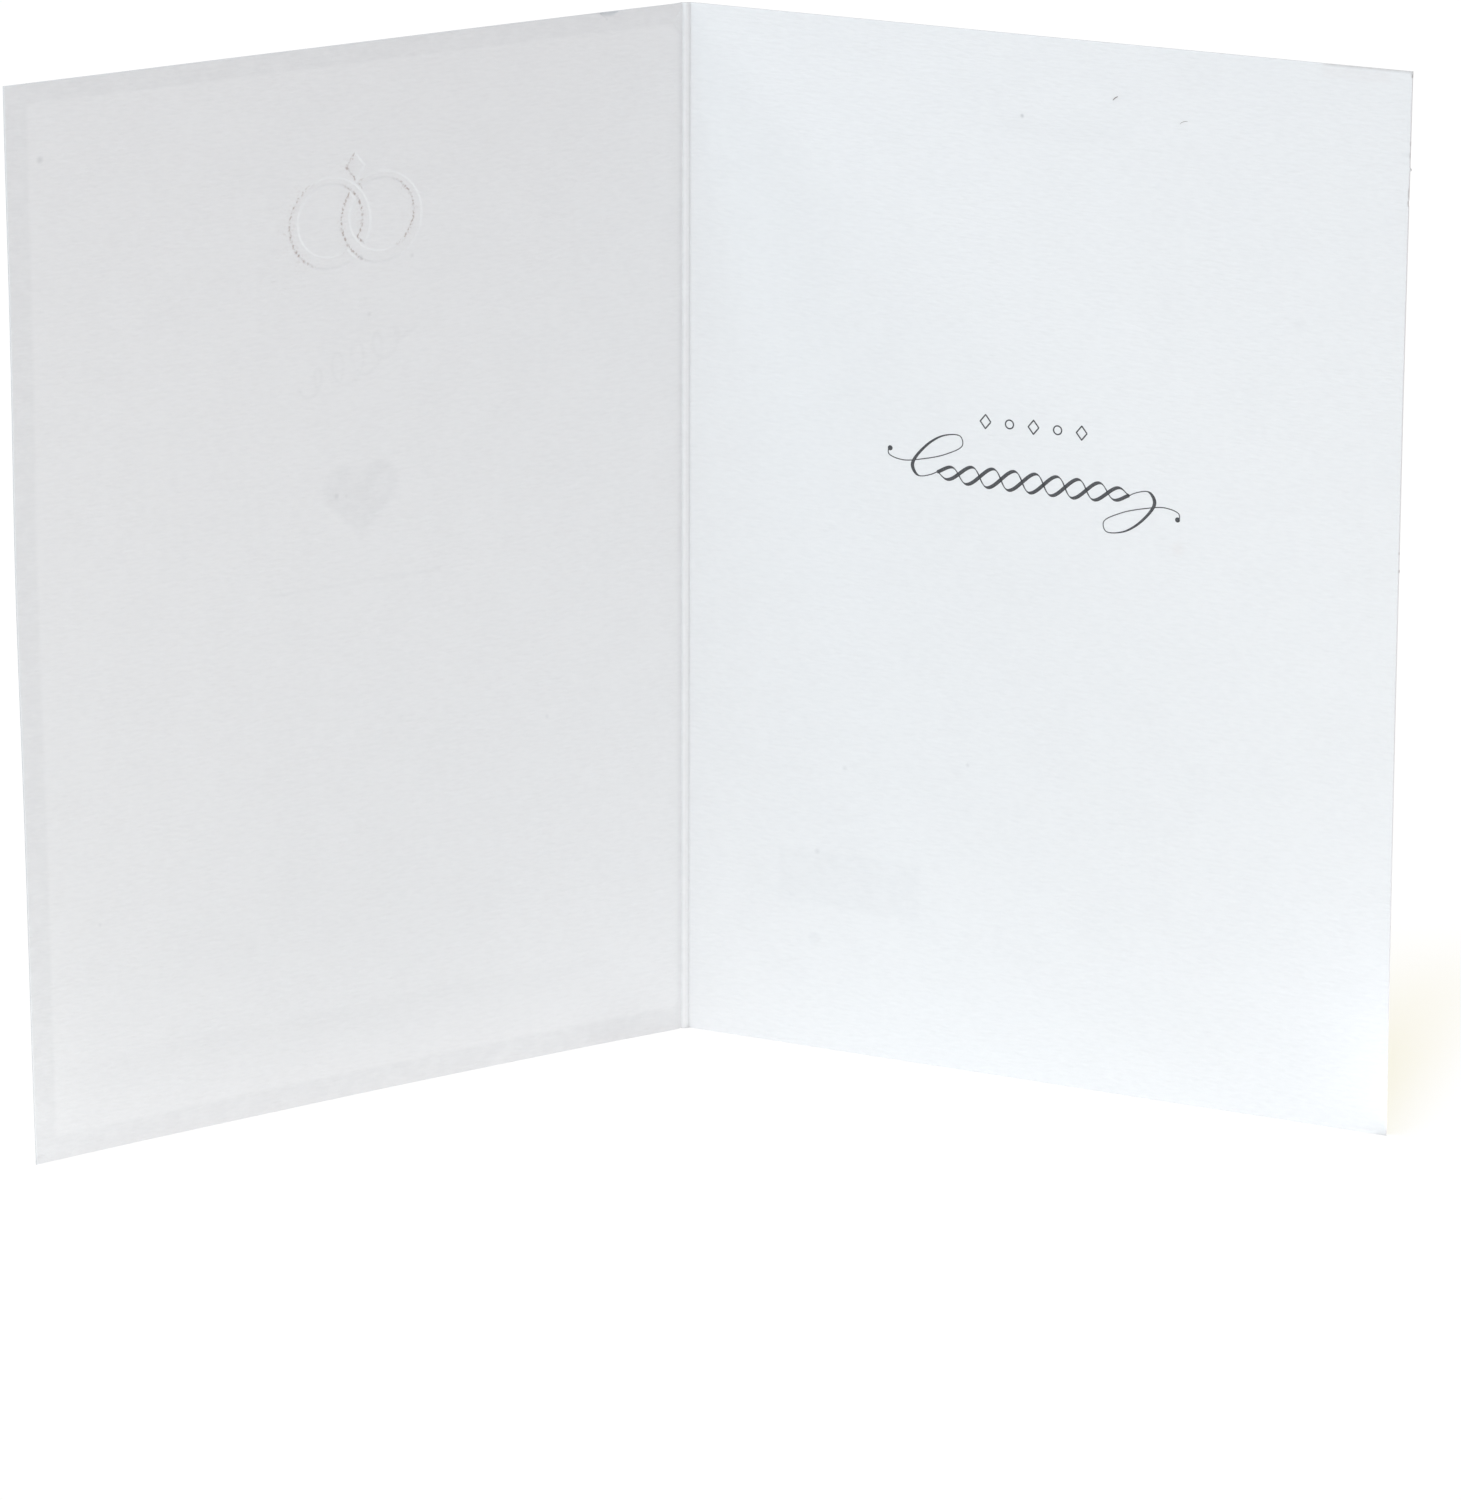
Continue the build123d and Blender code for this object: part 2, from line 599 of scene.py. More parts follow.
    def rim_inset(self, flat: Array) -> Array:
        """How far a face rounds over towards the middle of the board beside the cut edges.

        Args:
            flat: rows of distance from the fold, negative on the front cover, and height.

        Returns:
            Millimetres, one for each point.
        """
        across, up = flat[:, 0], flat[:, 1]
        near = np.minimum.reduce([across + self.front.width, self.back.width - across, up, self.height - up])
        left = np.clip(self.rim_radius - near, 0.0, self.rim_radius)
        return self.rim_radius - np.sqrt(self.rim_radius**2 - left**2)

    def inner_depth(self, flat: Array) -> Array:
        """Depth of the inner face, with its rounded rim and its crushed corner."""
        return np.minimum(self.rim_inset(flat) + self.wear.crush_depth * self.crushed(flat), self.board / 2)

    def outer_depth(self, flat: Array) -> Array:
        """Depth of the outer face, with its rounded rim."""
        return self.board - self.rim_inset(flat)


@dataclass(frozen=True)
class Paint:
    """A soft-edged shape painted on a cover for a material to read.

    Its soft edge gets points at a pitch that is close enough for it to show.
    """

    mask: Mask
    side: Side
    shape: Shape
    softness: float
    strength: float
    pitch: float

    def amount(self, flat: Array) -> Array:
        """How much of the mask the shape gives at points on the sheet.

        Args:
            flat: rows of distance from the fold, negative on the front cover, and height.

        Returns:
            Amounts, one for each point.
        """
        distance = flat[:, 0] * self.side.value
        inside = smooth(self.softness, -self.softness, self.shape(distance, flat[:, 1]))
        return np.where(distance > 0, inside * self.strength, 0.0)

    def outline_points(self, width: float, height: float) -> Array:
        """Points close together along the shape's outline.

        Args:
            width: width of the cover.
            height: height of the cover.

        Returns:
            Rows of distance from the fold and height.
        """
        from_fold, from_edge = 3.0, 1.0
        grid = crossings(np.arange(from_fold, width - from_edge, self.pitch),
                         np.arange(from_edge, height - from_edge, self.pitch))
        return soft_edge(self.shape, grid, self.softness, self.pitch)


@dataclass(frozen=True)
class CreaseTone:
    """A soft line of painted highlight or painted shade along the crease, placed by shares of the way across
    it.
    """

    mask: Mask
    middle: float
    spread: float
    strength: float

    def amount(self, share: Array) -> Array:
        """How much of the mask the line gives at shares of the way across."""
        return self.strength * hump(share - self.middle, self.spread)


class FlatLayout:
    """The sheet laid out flat: points, and the faces between them."""

    KEYS_PER_MM = 1000
    MERGED = 1e-6

    def __init__(self) -> None:
        """Starts an empty layout."""
        self.points: list[Place] = []
        self.faces: list[Face] = []
        self._known: dict[tuple[int, int], int] = {}

    def _key(self, across: float, up: float) -> tuple[int, int]:
        """A place, to the thousandth of a millimetre."""
        return round(across * self.KEYS_PER_MM), round(up * self.KEYS_PER_MM)

    def point(self, across: float, up: float) -> int:
        """The number of the point at a place, which is made if it isn't there.

        Args:
            across: distance from the fold, negative on the front cover.
            up: height.

        Returns:
            The point's number.
        """
        key = self._key(across, up)
        if key not in self._known:
            self._known[key] = len(self.points)
            self.points.append((across, up))
        return self._known[key]

    def add_lattice(self, columns: Array, rows: Array) -> None:
        """Adds a rectangle of four-sided faces between columns and rows.

        Args:
            columns: distances from the fold.
            rows: heights.
        """
        index = [[self.point(across, up) for across in columns] for up in rows]
        for low, high in zip(index, index[1:]):
            for left in range(len(columns) - 1):
                self.faces.append((low[left], low[left + 1], high[left + 1], high[left]))

    def add_filled(self, columns: Array, rows: Array, detail: Array) -> None:
        """Adds a rectangle of triangles between columns and rows, finer where detail asks for it.

        Args:
            columns: distances from the fold.
            rows: heights.
            detail: more points inside the rectangle or on its free edges.
        """
        known = {self._key(x, y): (x, y) for x, y in np.concatenate([detail, crossings(columns, rows)])}
        corners = [Vector(place) for place in known.values()]
        found, _, triangles, *_ = delaunay_2d_cdt(corners, [], [], 0, self.MERGED, False)
        index = [self.point(p.x, p.y) for p in found]
        for triangle in triangles:
            a, b, c = (found[i] for i in triangle)
            if (b - a).cross(c - a) < 0:
                triangle = triangle[::-1]
            self.faces.append(tuple(index[i] for i in triangle))


def shell(faces: Sequence[Face], count: int) -> tuple[list[Face], list[Face], list[Face]]:
    """The faces of a closed shell between two layers of points, the second numbered after the first.

    Args:
        faces: the first layer's faces.
        count: how many points a layer has.

    Returns:
        The faces of the first layer, of the second one, and of the rim between them.
    """
    edges = {(a, b) for face in faces for a, b in zip(face, (*face[1:], face[0]))}
    rim = [(b, a, a + count, b + count) for a, b in edges if (b, a) not in edges]
    return list(faces), [tuple(index + count for index in reversed(face)) for face in faces], rim


def make_piece(name: str, points: Array, faces: Sequence[Face]) -> bpy.types.Object:
    """Makes a smooth-shaded piece that rides on the card's one body.

    Args:
        name: the piece's name.
        points: rows of x, y and z, in millimetres.
        faces: point numbers of each face.

    Returns:
        The new object.
    """
    mesh = bpy.data.meshes.new(name)
    mesh.from_pydata((points * MM).tolist(), [], faces)
    mesh.shade_smooth()
    piece = bpy.data.objects.new(name, mesh)
    bpy.context.scene.collection.objects.link(piece)
    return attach(piece, "root")


class SheetPiece:
    """The card's sheet as one closed fine mesh, with masks painted on its points."""

    NAME = "card_sheet"
    CREASE_COLUMNS = 15
    PANEL_PITCH = 4.0
    PANEL_INSET = 1.0
    FROM_BEAD = (0.0, 0.06, 0.16, 0.32, 0.55, 0.85, 1.25, 1.8, 2.5, 3.4)
    PANEL_START = 4.5
    BESIDE_RIM = 0.3
    WORN_STEPS = (0.15, 0.3, 0.5, 0.75, 1.1)
    CRUSH_PITCH = 0.25
    MARK_SPREAD = 1.8
    MARK_ROWS = 15
    RELIEF_PITCH = 0.11
    # A painted highlight on the bead's crest, and painted shade in the valley beside the back cover's hinge.
    CREASE_TONES = (CreaseTone(Mask.PAINTED_CREST_HIGHLIGHT, 0.36, 0.17, 0.75), CreaseTone(Mask.STAIN_AND_CREASE_SHADE, 0.93, 0.16, 0.2))

    def __init__(self, sheet: FoldedSheet, paints: Sequence[Paint]) -> None:
        """Takes the sheet's form and what is painted on it."""
        self.sheet = sheet
        self.paints = paints

    def rim_steps(self, *further: float) -> Array:
        """Distances in from a cut edge where its rounding needs points, and further ones."""
        rim = self.sheet.rim_radius
        return np.array([0.0, rim / 3, rim, *further])

    def rows(self) -> Array:
        """Heights of the rows that run across the whole sheet.

        Returns:
            Heights, from the foot to the head.
        """
        height, ends = self.sheet.height, self.rim_steps(self.BESIDE_RIM)
        steps = np.linspace(self.PANEL_INSET, height - self.PANEL_INSET, round(height / self.PANEL_PITCH))
        return np.concatenate([ends, steps, height - ends[::-1]])

    def columns(self, cover: Cover) -> Array:
        """Distances of a cover's columns from the fold, closer together beside the bead and the free edge.

        Args:
            cover: the cover.

        Returns:
            Distances, from the bead to the free edge.
        """
        start, width = self.sheet.crease_reach(cover.side), cover.width
        count = round(width / self.PANEL_PITCH)
        steps = np.linspace(start + self.PANEL_START, width - self.PANEL_INSET, count)
        by_edge = width - self.rim_steps(self.BESIDE_RIM)[::-1]
        return np.concatenate([start + np.array(self.FROM_BEAD), steps, by_edge])

    def relief_points(self) -> Array:
        """Points close together on the walls of the pressed ornament.

        Returns:
            Rows of distance from the fold and height.
        """
        ornament, pitch = self.sheet.ornament, self.RELIEF_PITCH
        half = ornament.ring_spacing / 2 + ornament.ring_radius + 1
        grid = crossings(np.arange(ornament.across - half, ornament.across + half, pitch),
                         np.arange(ornament.height - half, ornament.height + half, pitch))
        return soft_edge(ornament.distance, grid, ornament.wall / 2, pitch)

    def wear_points(self) -> Array:
        """Points close together along the marks and the crushed corner of the back cover.

        Returns:
            Rows of distance from the fold and height.
        """
        wear, width, height = self.sheet.wear, self.sheet.back.width, self.sheet.height
        inward = self.rim_steps(*self.WORN_STEPS)
        spread = np.linspace(-self.MARK_SPREAD, self.MARK_SPREAD, self.MARK_ROWS)
        heights = [np.minimum(mark.height + mark.length * spread, height - 0.1) for mark in wear.marks]
        along_head = np.arange(wear.crush_start, width - inward[-1], self.CRUSH_PITCH)
        return np.concatenate([crossings(width - inward, np.concatenate(heights)),
                               crossings(along_head, height - inward),
                               crossings(width - inward, height - inward)])

    def detail(self, cover: Cover) -> Array:
        """Rows of distance from the fold and height where a cover needs more points.

        Args:
            cover: the cover.

        Returns:
            The rows, with distances counted from the fold on both covers.
        """
        outlines = [paint.outline_points(cover.width, self.sheet.height)
                    for paint in self.paints if paint.side is cover.side]
        outlines.append(self.relief_points() if cover.side is Side.FRONT else self.wear_points())
        return np.concatenate(outlines)

    def layout(self) -> FlatLayout:
        """Lays the sheet out flat.

        Returns:
            Its points and faces.
        """
        flat, rows = FlatLayout(), self.rows()
        for cover in (self.sheet.front, self.sheet.back):
            sign = cover.side.value
            flat.add_filled(self.columns(cover) * sign, rows, self.detail(cover) * (sign, 1))
        flat.add_lattice(np.linspace(*self.sheet.crease_span(), self.CREASE_COLUMNS + 1), rows)
        return flat

    def amounts(self, flat: Array) -> dict[Mask, Array]:
        """How much of each mask there is at points on the sheet.

        Args:
            flat: rows of distance from the fold, negative on the front cover, and height.

        Returns:
            The amounts of each mask, one for each point.
        """
        sheet, ornament = self.sheet, self.sheet.ornament
        across, up = flat[:, 0], flat[:, 1]
        amounts = {mask: np.zeros(len(flat)) for mask in Mask}
        for paint in self.paints:
            amounts[paint.mask] = np.maximum(amounts[paint.mask], paint.amount(flat))
        # painted highlight on the crest and painted shade in the valley beside the back cover
        for tone in self.CREASE_TONES:
            amounts[tone.mask] += tone.amount(sheet.crease_share(across))
        amounts[Mask.FOIL] = np.where(across < 0, ornament.pressed(-across, up) / ornament.depth, 0.0)
        # rubbed foil colour and painted shade on the ornament's walls that face the fold
        amounts[Mask.RUB_AND_WALL_SHADE] = np.where(across < 0, ornament.rubbed_and_shaded(-across, up), 0.0)
        dirtied = sheet.wear.dirtied(up, sheet.back.width - across)
        amounts[Mask.WEAR] = np.maximum(sheet.crushed(flat), dirtied)
        return amounts

    def build(self, finishes: dict[Surface, bpy.types.Material]) -> bpy.types.Object:
        """Makes the piece.

        Args:
            finishes: the material of each surface.

        Returns:
            The piece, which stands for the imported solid.
        """
        layout = self.layout()
        flat, count = np.array(layout.points), len(layout.points)
        inner = self.sheet.place(flat, self.sheet.inner_depth(flat))
        outer = self.sheet.place(flat, self.sheet.outer_depth(flat))
        inside, outer_faces, edges = shell(layout.faces, count)
        piece = make_piece(self.NAME, np.concatenate([inner, outer]), [*inside, *outer_faces, *edges])
        mesh = piece.data
        for surface in Surface:
            mesh.materials.append(finishes[surface])
        on_front = [sum(flat[index, 0] for index in face) < 0 for face in layout.faces]
        slots = [Surface.INSIDE.value] * len(inside)
        slots += [Surface.FRONT.value if front else Surface.BACK.value for front in on_front]
        slots += [Surface.EDGE.value] * len(edges)
        mesh.polygons.foreach_set("material_index", slots)
        for mask, amount in self.amounts(flat).items():
            attribute = mesh.attributes.new(mask.value, "FLOAT", "POINT")
            attribute.data.foreach_set("value", np.tile(amount, 2).astype(np.float32))
        corners = np.zeros(len(mesh.loops), np.int32)
        mesh.loops.foreach_get("vertex_index", corners)
        sheet_map = mesh.uv_layers.new(name=SHEET_MAP)
        sheet_map.data.foreach_set("uv", (flat[corners % count] * MM).astype(np.float32).ravel())
        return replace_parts(piece, "card")


class PieceDraft:
    """Closed forms that are gathered into one piece."""

    def __init__(self, name: str) -> None:
        """Starts an empty piece.

        Args:
            name: the piece's name.
        """
        self.name, self.count = name, 0
        self.points: list[Array] = []
        self.faces: list[Face] = []

    def add(self, points: Array, faces: Iterable[Face]) -> None:
        """Adds a closed form, whose faces number its own points.

        Args:
            points: rows of x, y and z, in millimetres.
            faces: point numbers of each face.
        """
        self.points.append(points)
        self.faces += [tuple(self.count + index for index in face) for face in faces]
        self.count += len(points)

    def build(self, finish: bpy.types.Material) -> bpy.types.Object:
        """Makes the piece in its finish.

        Args:
            finish: the piece's material.

        Returns:
            The new object.
        """
        piece = make_piece(self.name, np.concatenate(self.points), self.faces)
        piece.data.materials.append(finish)
        return piece


@dataclass(frozen=True)
class Pen:
    """A flexible pen: thick on the strokes that it is pressed on, thin elsewhere."""

    thin: float = 0.17
    thick: float = 0.62
    nib: float = -48.0
    sharpness: float = 1.5

    def _widths(self, pressure: Array) -> Array:
        """Widths at pressures from 0 to 1."""
        return self.thin + (self.thick - self.thin) * pressure**self.sharpness

    def nib_widths(self, line: Array) -> Array:
        """Widths of a line drawn with the nib held at one angle.

        Args:
            line: the line's points, in order.

        Returns:
            Widths, one for each point.
        """
        heading = np.gradient(line, axis=0)
        angle = np.arctan2(heading[:, 1], heading[:, 0]) - math.radians(self.nib)
        return self._widths(np.abs(np.sin(angle)))

    def pressed_widths(self, line: Array) -> Array:
        """Widths of a line that is pressed where it runs downwards."""
        heading = np.gradient(line, axis=0)
        return self._widths(np.clip(-heading[:, 1] / np.linalg.norm(heading, axis=1), 0.0, 1.0))


def smooth_line(points: Sequence[Place], steps: int) -> Array:
    """A smooth line through points, as a centripetal Catmull-Rom spline.

    Args:
        points: the points that it passes.
        steps: how many pieces each stretch between two points has.

    Returns:
        One row of x and y for each point of the line.
    """
    knots = np.array(points, float)
    knots = np.vstack([2 * knots[0] - knots[1], knots, 2 * knots[-1] - knots[-2]])
    line = []
    for at in range(1, len(knots) - 2):
        near = knots[at - 1:at + 3]
        gaps = np.sqrt(np.linalg.norm(np.diff(near, axis=0), axis=1))
        t = np.concatenate([[0.0], np.cumsum(gaps)])
        now = np.linspace(t[1], t[2], steps, endpoint=False)[:, None]
        level = [near[i] + (now - t[i]) / (t[i + 1] - t[i]) * (near[i + 1] - near[i]) for i in range(3)]
        level = [level[i] + (now - t[i]) / (t[i + 2] - t[i]) * (level[i + 1] - level[i]) for i in range(2)]
        line.append(level[0] + (now - t[1]) / (t[2] - t[1]) * (level[1] - level[0]))
    return np.vstack([*line, knots[-2]])


@dataclass(frozen=True)
class Stroke:
    """A line of ink, drawn about a point of the back cover's inner face."""

    line: Array
    widths: Array

    def ribbon(self) -> tuple[Array, list[Face], Array]:
        """The stroke as a flat ribbon.

        Returns:
            Its points, its faces seen from above, and how far along the stroke each point is.
        """
        heading = np.gradient(self.line, axis=0)
        heading /= np.linalg.norm(heading, axis=1)[:, None]
        left = np.stack([-heading[:, 1], heading[:, 0]], 1) * self.widths[:, None] / 2
        count = len(self.line)
        faces = [(i, i + 1, i + 1 + count, i + count) for i in range(count - 1)]
        share = np.tile(np.linspace(0.0, 1.0, count), 2)
        return np.vstack([self.line - left, self.line + left]), faces, share


@dataclass(frozen=True)
class InkFilm:
    """How ink lies on the board: its top above the fibres, and its root among them.

    Its top climbs a little along a stroke, so that it clears what it crosses.
    """

    lift: float = 0.012
    root: float = 0.02
    climb: float = 0.006

    def lay(self, stroke: Stroke, middle: Place, sheet: FoldedSheet) -> tuple[Array, list[Face]]:
        """A stroke as a closed thin film.

        Args:
            stroke: the stroke.
            middle: distance from the fold and height of the point that it is drawn about.
            sheet: the sheet that it lies on.

        Returns:
            Its points and its faces.
        """
        ribbon, faces, share = stroke.ribbon()
        place = ribbon + middle
        top = sheet.place(place, -(self.lift + self.climb * share))
        root = sheet.place(place, np.full(len(place), self.root))
        return np.concatenate([top, root]), [face for part in shell(faces, len(place)) for face in part]


@dataclass(frozen=True)
class InsidePrint:
    """The print on the back cover's inner face: a row of five small marks over a penned flourish."""

    across: float = 63.4
    flourish_height: float = 103.55
    marks_height: float = 113.05
    marks_pitch: float = 4.3
    mark_line: float = 0.23
    lozenge: Place = (0.95, 1.18)
    ring_radius: float = 0.72
    braid_reach: float = 17.2
    braid_swell: float = 1.65
    braid_crossings: int = 9
    braid_slant: float = 0.3
    braid_blunt: float = 0.2
    braid_points: int = 720
    swash: tuple[Place, ...] = (
        (16.0, -0.85), (18.3, 0.55), (20.7, 0.95), (21.7, -0.75), (19.6, -3.9), (16.2, -6.25),
        (13.1, -6.5), (12.7, -5.0), (15.6, -3.2), (19.9, -1.9), (23.6, -1.35), (26.0, -2.1), (26.1, -3.2))
    swash_exit: float = 0.8
    swash_steps: int = 24
    ball_place: Place = (-0.32, 0.1)
    ball_radius: float = 0.43
    pen: Pen = Pen()

    def braid(self) -> list[Stroke]:
        """Two strands that cross and swell towards the middle.

        Returns:
            The two strokes.
        """
        x = np.linspace(-self.braid_reach, self.braid_reach, self.braid_points)
        reach = self.braid_reach + self.braid_blunt
        swell = self.braid_swell * np.sqrt(np.clip(1 - (x / reach) ** 4, 0.0, 1.0))
        wave = swell * np.sin(np.pi * self.braid_crossings * (x / self.braid_reach + 1) / 2)
        strands = [np.stack([x + self.braid_slant * y, y], 1) for y in (wave, -wave)]
        return [Stroke(strand, self.pen.nib_widths(strand)) for strand in strands]

    def swashes(self) -> list[Stroke]:
        """The looped swash at each end of the braid, one the other turned half round, with its ball.

        Returns:
            Four strokes: a swash and a ball for each end.
        """
        line = smooth_line(self.swash, self.swash_steps)
        widths = self.pen.pressed_widths(line)
        widths[np.linspace(0.0, 1.0, len(line)) > self.swash_exit] = self.pen.thin
        ball = line[-1] + self.ball_place + circle(self.ball_radius / 2, 40)
        whole = [Stroke(line, widths), Stroke(ball, np.full(len(ball), self.ball_radius))]
        return whole + [Stroke(-stroke.line, stroke.widths) for stroke in whole]

    def marks(self) -> list[tuple[float, Stroke]]:
        """The row of small open lozenges and rings, each with its distance from the row's middle.

        Returns:
            Pairs of a distance and a stroke, from left to right.
        """
        wide, tall = self.lozenge
        corners = np.array([(wide, 0), (0, tall), (-wide, 0), (0, -tall), (wide, 0)])
        t = np.linspace(0.0, 4.0, 81)
        lozenge = np.stack([np.interp(t, range(5), corners[:, i]) for i in range(2)], 1)
        ring = circle(self.ring_radius, 49)
        return [((place - 2) * self.marks_pitch, Stroke(outline, np.full(len(outline), self.mark_line)))
                for place, outline in enumerate((lozenge, ring, lozenge, ring, lozenge))]

    def build(self, sheet: FoldedSheet, finish: bpy.types.Material) -> bpy.types.Object:
        """Makes the print as one piece.

        Args:
            sheet: the sheet that it lies on.
            finish: the ink's material.

        Returns:
            The new object.
        """
        draft, film = PieceDraft("inside_print"), InkFilm()
        for stroke in [*self.braid(), *self.swashes()]:
            draft.add(*film.lay(stroke, (self.across, self.flourish_height), sheet))
        for shift, stroke in self.marks():
            draft.add(*film.lay(stroke, (self.across + shift, self.marks_height), sheet))
        return draft.build(finish)


@dataclass(frozen=True)
class Hair:
    """A short bent fibre: where its middle is, its length, its slope in degrees, its sag and its radius."""

    across: float
    up: float
    length: float
    slope: float
    sag: float
    radius: float
    sides: int = 8
    rings: int = 15

    def tube(self, sheet: FoldedSheet) -> tuple[Array, list[Face]]:
        """The fibre as a closed tube that lies on the back cover's inner face.

        Args:
            sheet: the sheet.

        Returns:
            Its points and its faces.
        """
        slope, sides = math.radians(self.slope), self.sides
        heading = np.array([math.cos(slope), math.sin(slope)])
        cross = np.array([-heading[1], heading[0]])
        share = np.linspace(-1.0, 1.0, self.rings)[:, None]
        line = (self.across, self.up) + share * self.length / 2 * heading - share**2 * self.sag * cross
        thick = self.radius * np.sqrt(1.02 - share**4)
        turn = np.linspace(0.0, 2 * np.pi, sides, endpoint=False)
        flat = line[:, None] + (np.cos(turn) * thick)[..., None] * cross
        depth = -(self.radius + np.sin(turn) * thick)
        last = (self.rings - 1) * sides
        faces = [(low + j, low + sides + j, low + sides + (j + 1) % sides, low + (j + 1) % sides)
                 for low in range(0, last, sides) for j in range(sides)]
        faces += [tuple(range(sides)), tuple(reversed(range(last, last + sides)))]
        return sheet.place(flat.reshape(-1, 2), depth.ravel()), faces


@dataclass(frozen=True)
class Lint:
    """Short fibres caught on the back cover's inner face."""

    hairs: tuple[Hair, ...] = (
        Hair(77.0, 169.15, 1.15, 38.0, 0.10, 0.052), Hair(88.9, 166.35, 1.5, 22.0, 0.16, 0.028))

    def build(self, sheet: FoldedSheet, finish: bpy.types.Material) -> bpy.types.Object:
        """Makes the fibres as one piece.

        Args:
            sheet: the sheet that they lie on.
            finish: their material.

        Returns:
            The new object.
        """
        draft = PieceDraft("caught_fibres")
        for hair in self.hairs:
            draft.add(*hair.tube(sheet))
        return draft.build(finish)


class Wire:
    """A value or colour on its way through a material. Python's operators on it add Math nodes."""

    def __init__(self, tree: "Tree", socket: bpy.types.NodeSocket) -> None:
        """Wraps a node's output."""
        self.tree, self.socket = tree, socket

    def _math(self, operation: str, first: "Wire | float", second: "Wire | float") -> "Wire":
        """A Math node on two values."""
        return self.tree.node("ShaderNodeMath", {"operation": operation}, {0: first, 1: second})

    def _vector(self, operation: str, other: Sequence[float], output: int | str = 0) -> "Wire":
        """A Vector Math node on self and a fixed vector."""
        return self.tree.node("ShaderNodeVectorMath", {"operation": operation}, {0: self, 1: other}, output)

    def __add__(self, other: "Wire | float") -> "Wire":
        """self + other."""
        return self._math("ADD", self, other)

    def __radd__(self, other: float) -> "Wire":
        """other + self."""
        return self._math("ADD", other, self)

    def __sub__(self, other: "Wire | float") -> "Wire":
        """self - other."""
        return self._math("SUBTRACT", self, other)

    def __rsub__(self, other: float) -> "Wire":
        """other - self."""
        return self._math("SUBTRACT", other, self)

    def __mul__(self, other: "Wire | float") -> "Wire":
        """self * other."""
        return self._math("MULTIPLY", self, other)

    def __rmul__(self, other: float) -> "Wire":
        """other * self."""
        return self._math("MULTIPLY", other, self)

    def greater(self, other: "Wire | float") -> "Wire":
        """The greater of self and other."""
        return self._math("MAXIMUM", self, other)

    def stretched(self, x: float, y: float, z: float = 0.0) -> "Wire":
        """The vector, with each of its numbers multiplied."""
        return self._vector("MULTIPLY", (x, y, z))

    def along(self, direction: Sequence[float], start: Sequence[float] = (0.0, 0.0, 0.0)) -> "Wire":
        """How far the place lies from a start in a direction."""
        return self._vector("DOT_PRODUCT", direction, "Value") - float(np.dot(direction, start))

    def between(self, low: float, high: float) -> "Wire":
        """A smooth step from 0 at low to 1 at high."""
        return self.tree.node("ShaderNodeMapRange", {"interpolation_type": "SMOOTHSTEP"},
                              {"Value": self, "From Min": low, "From Max": high})


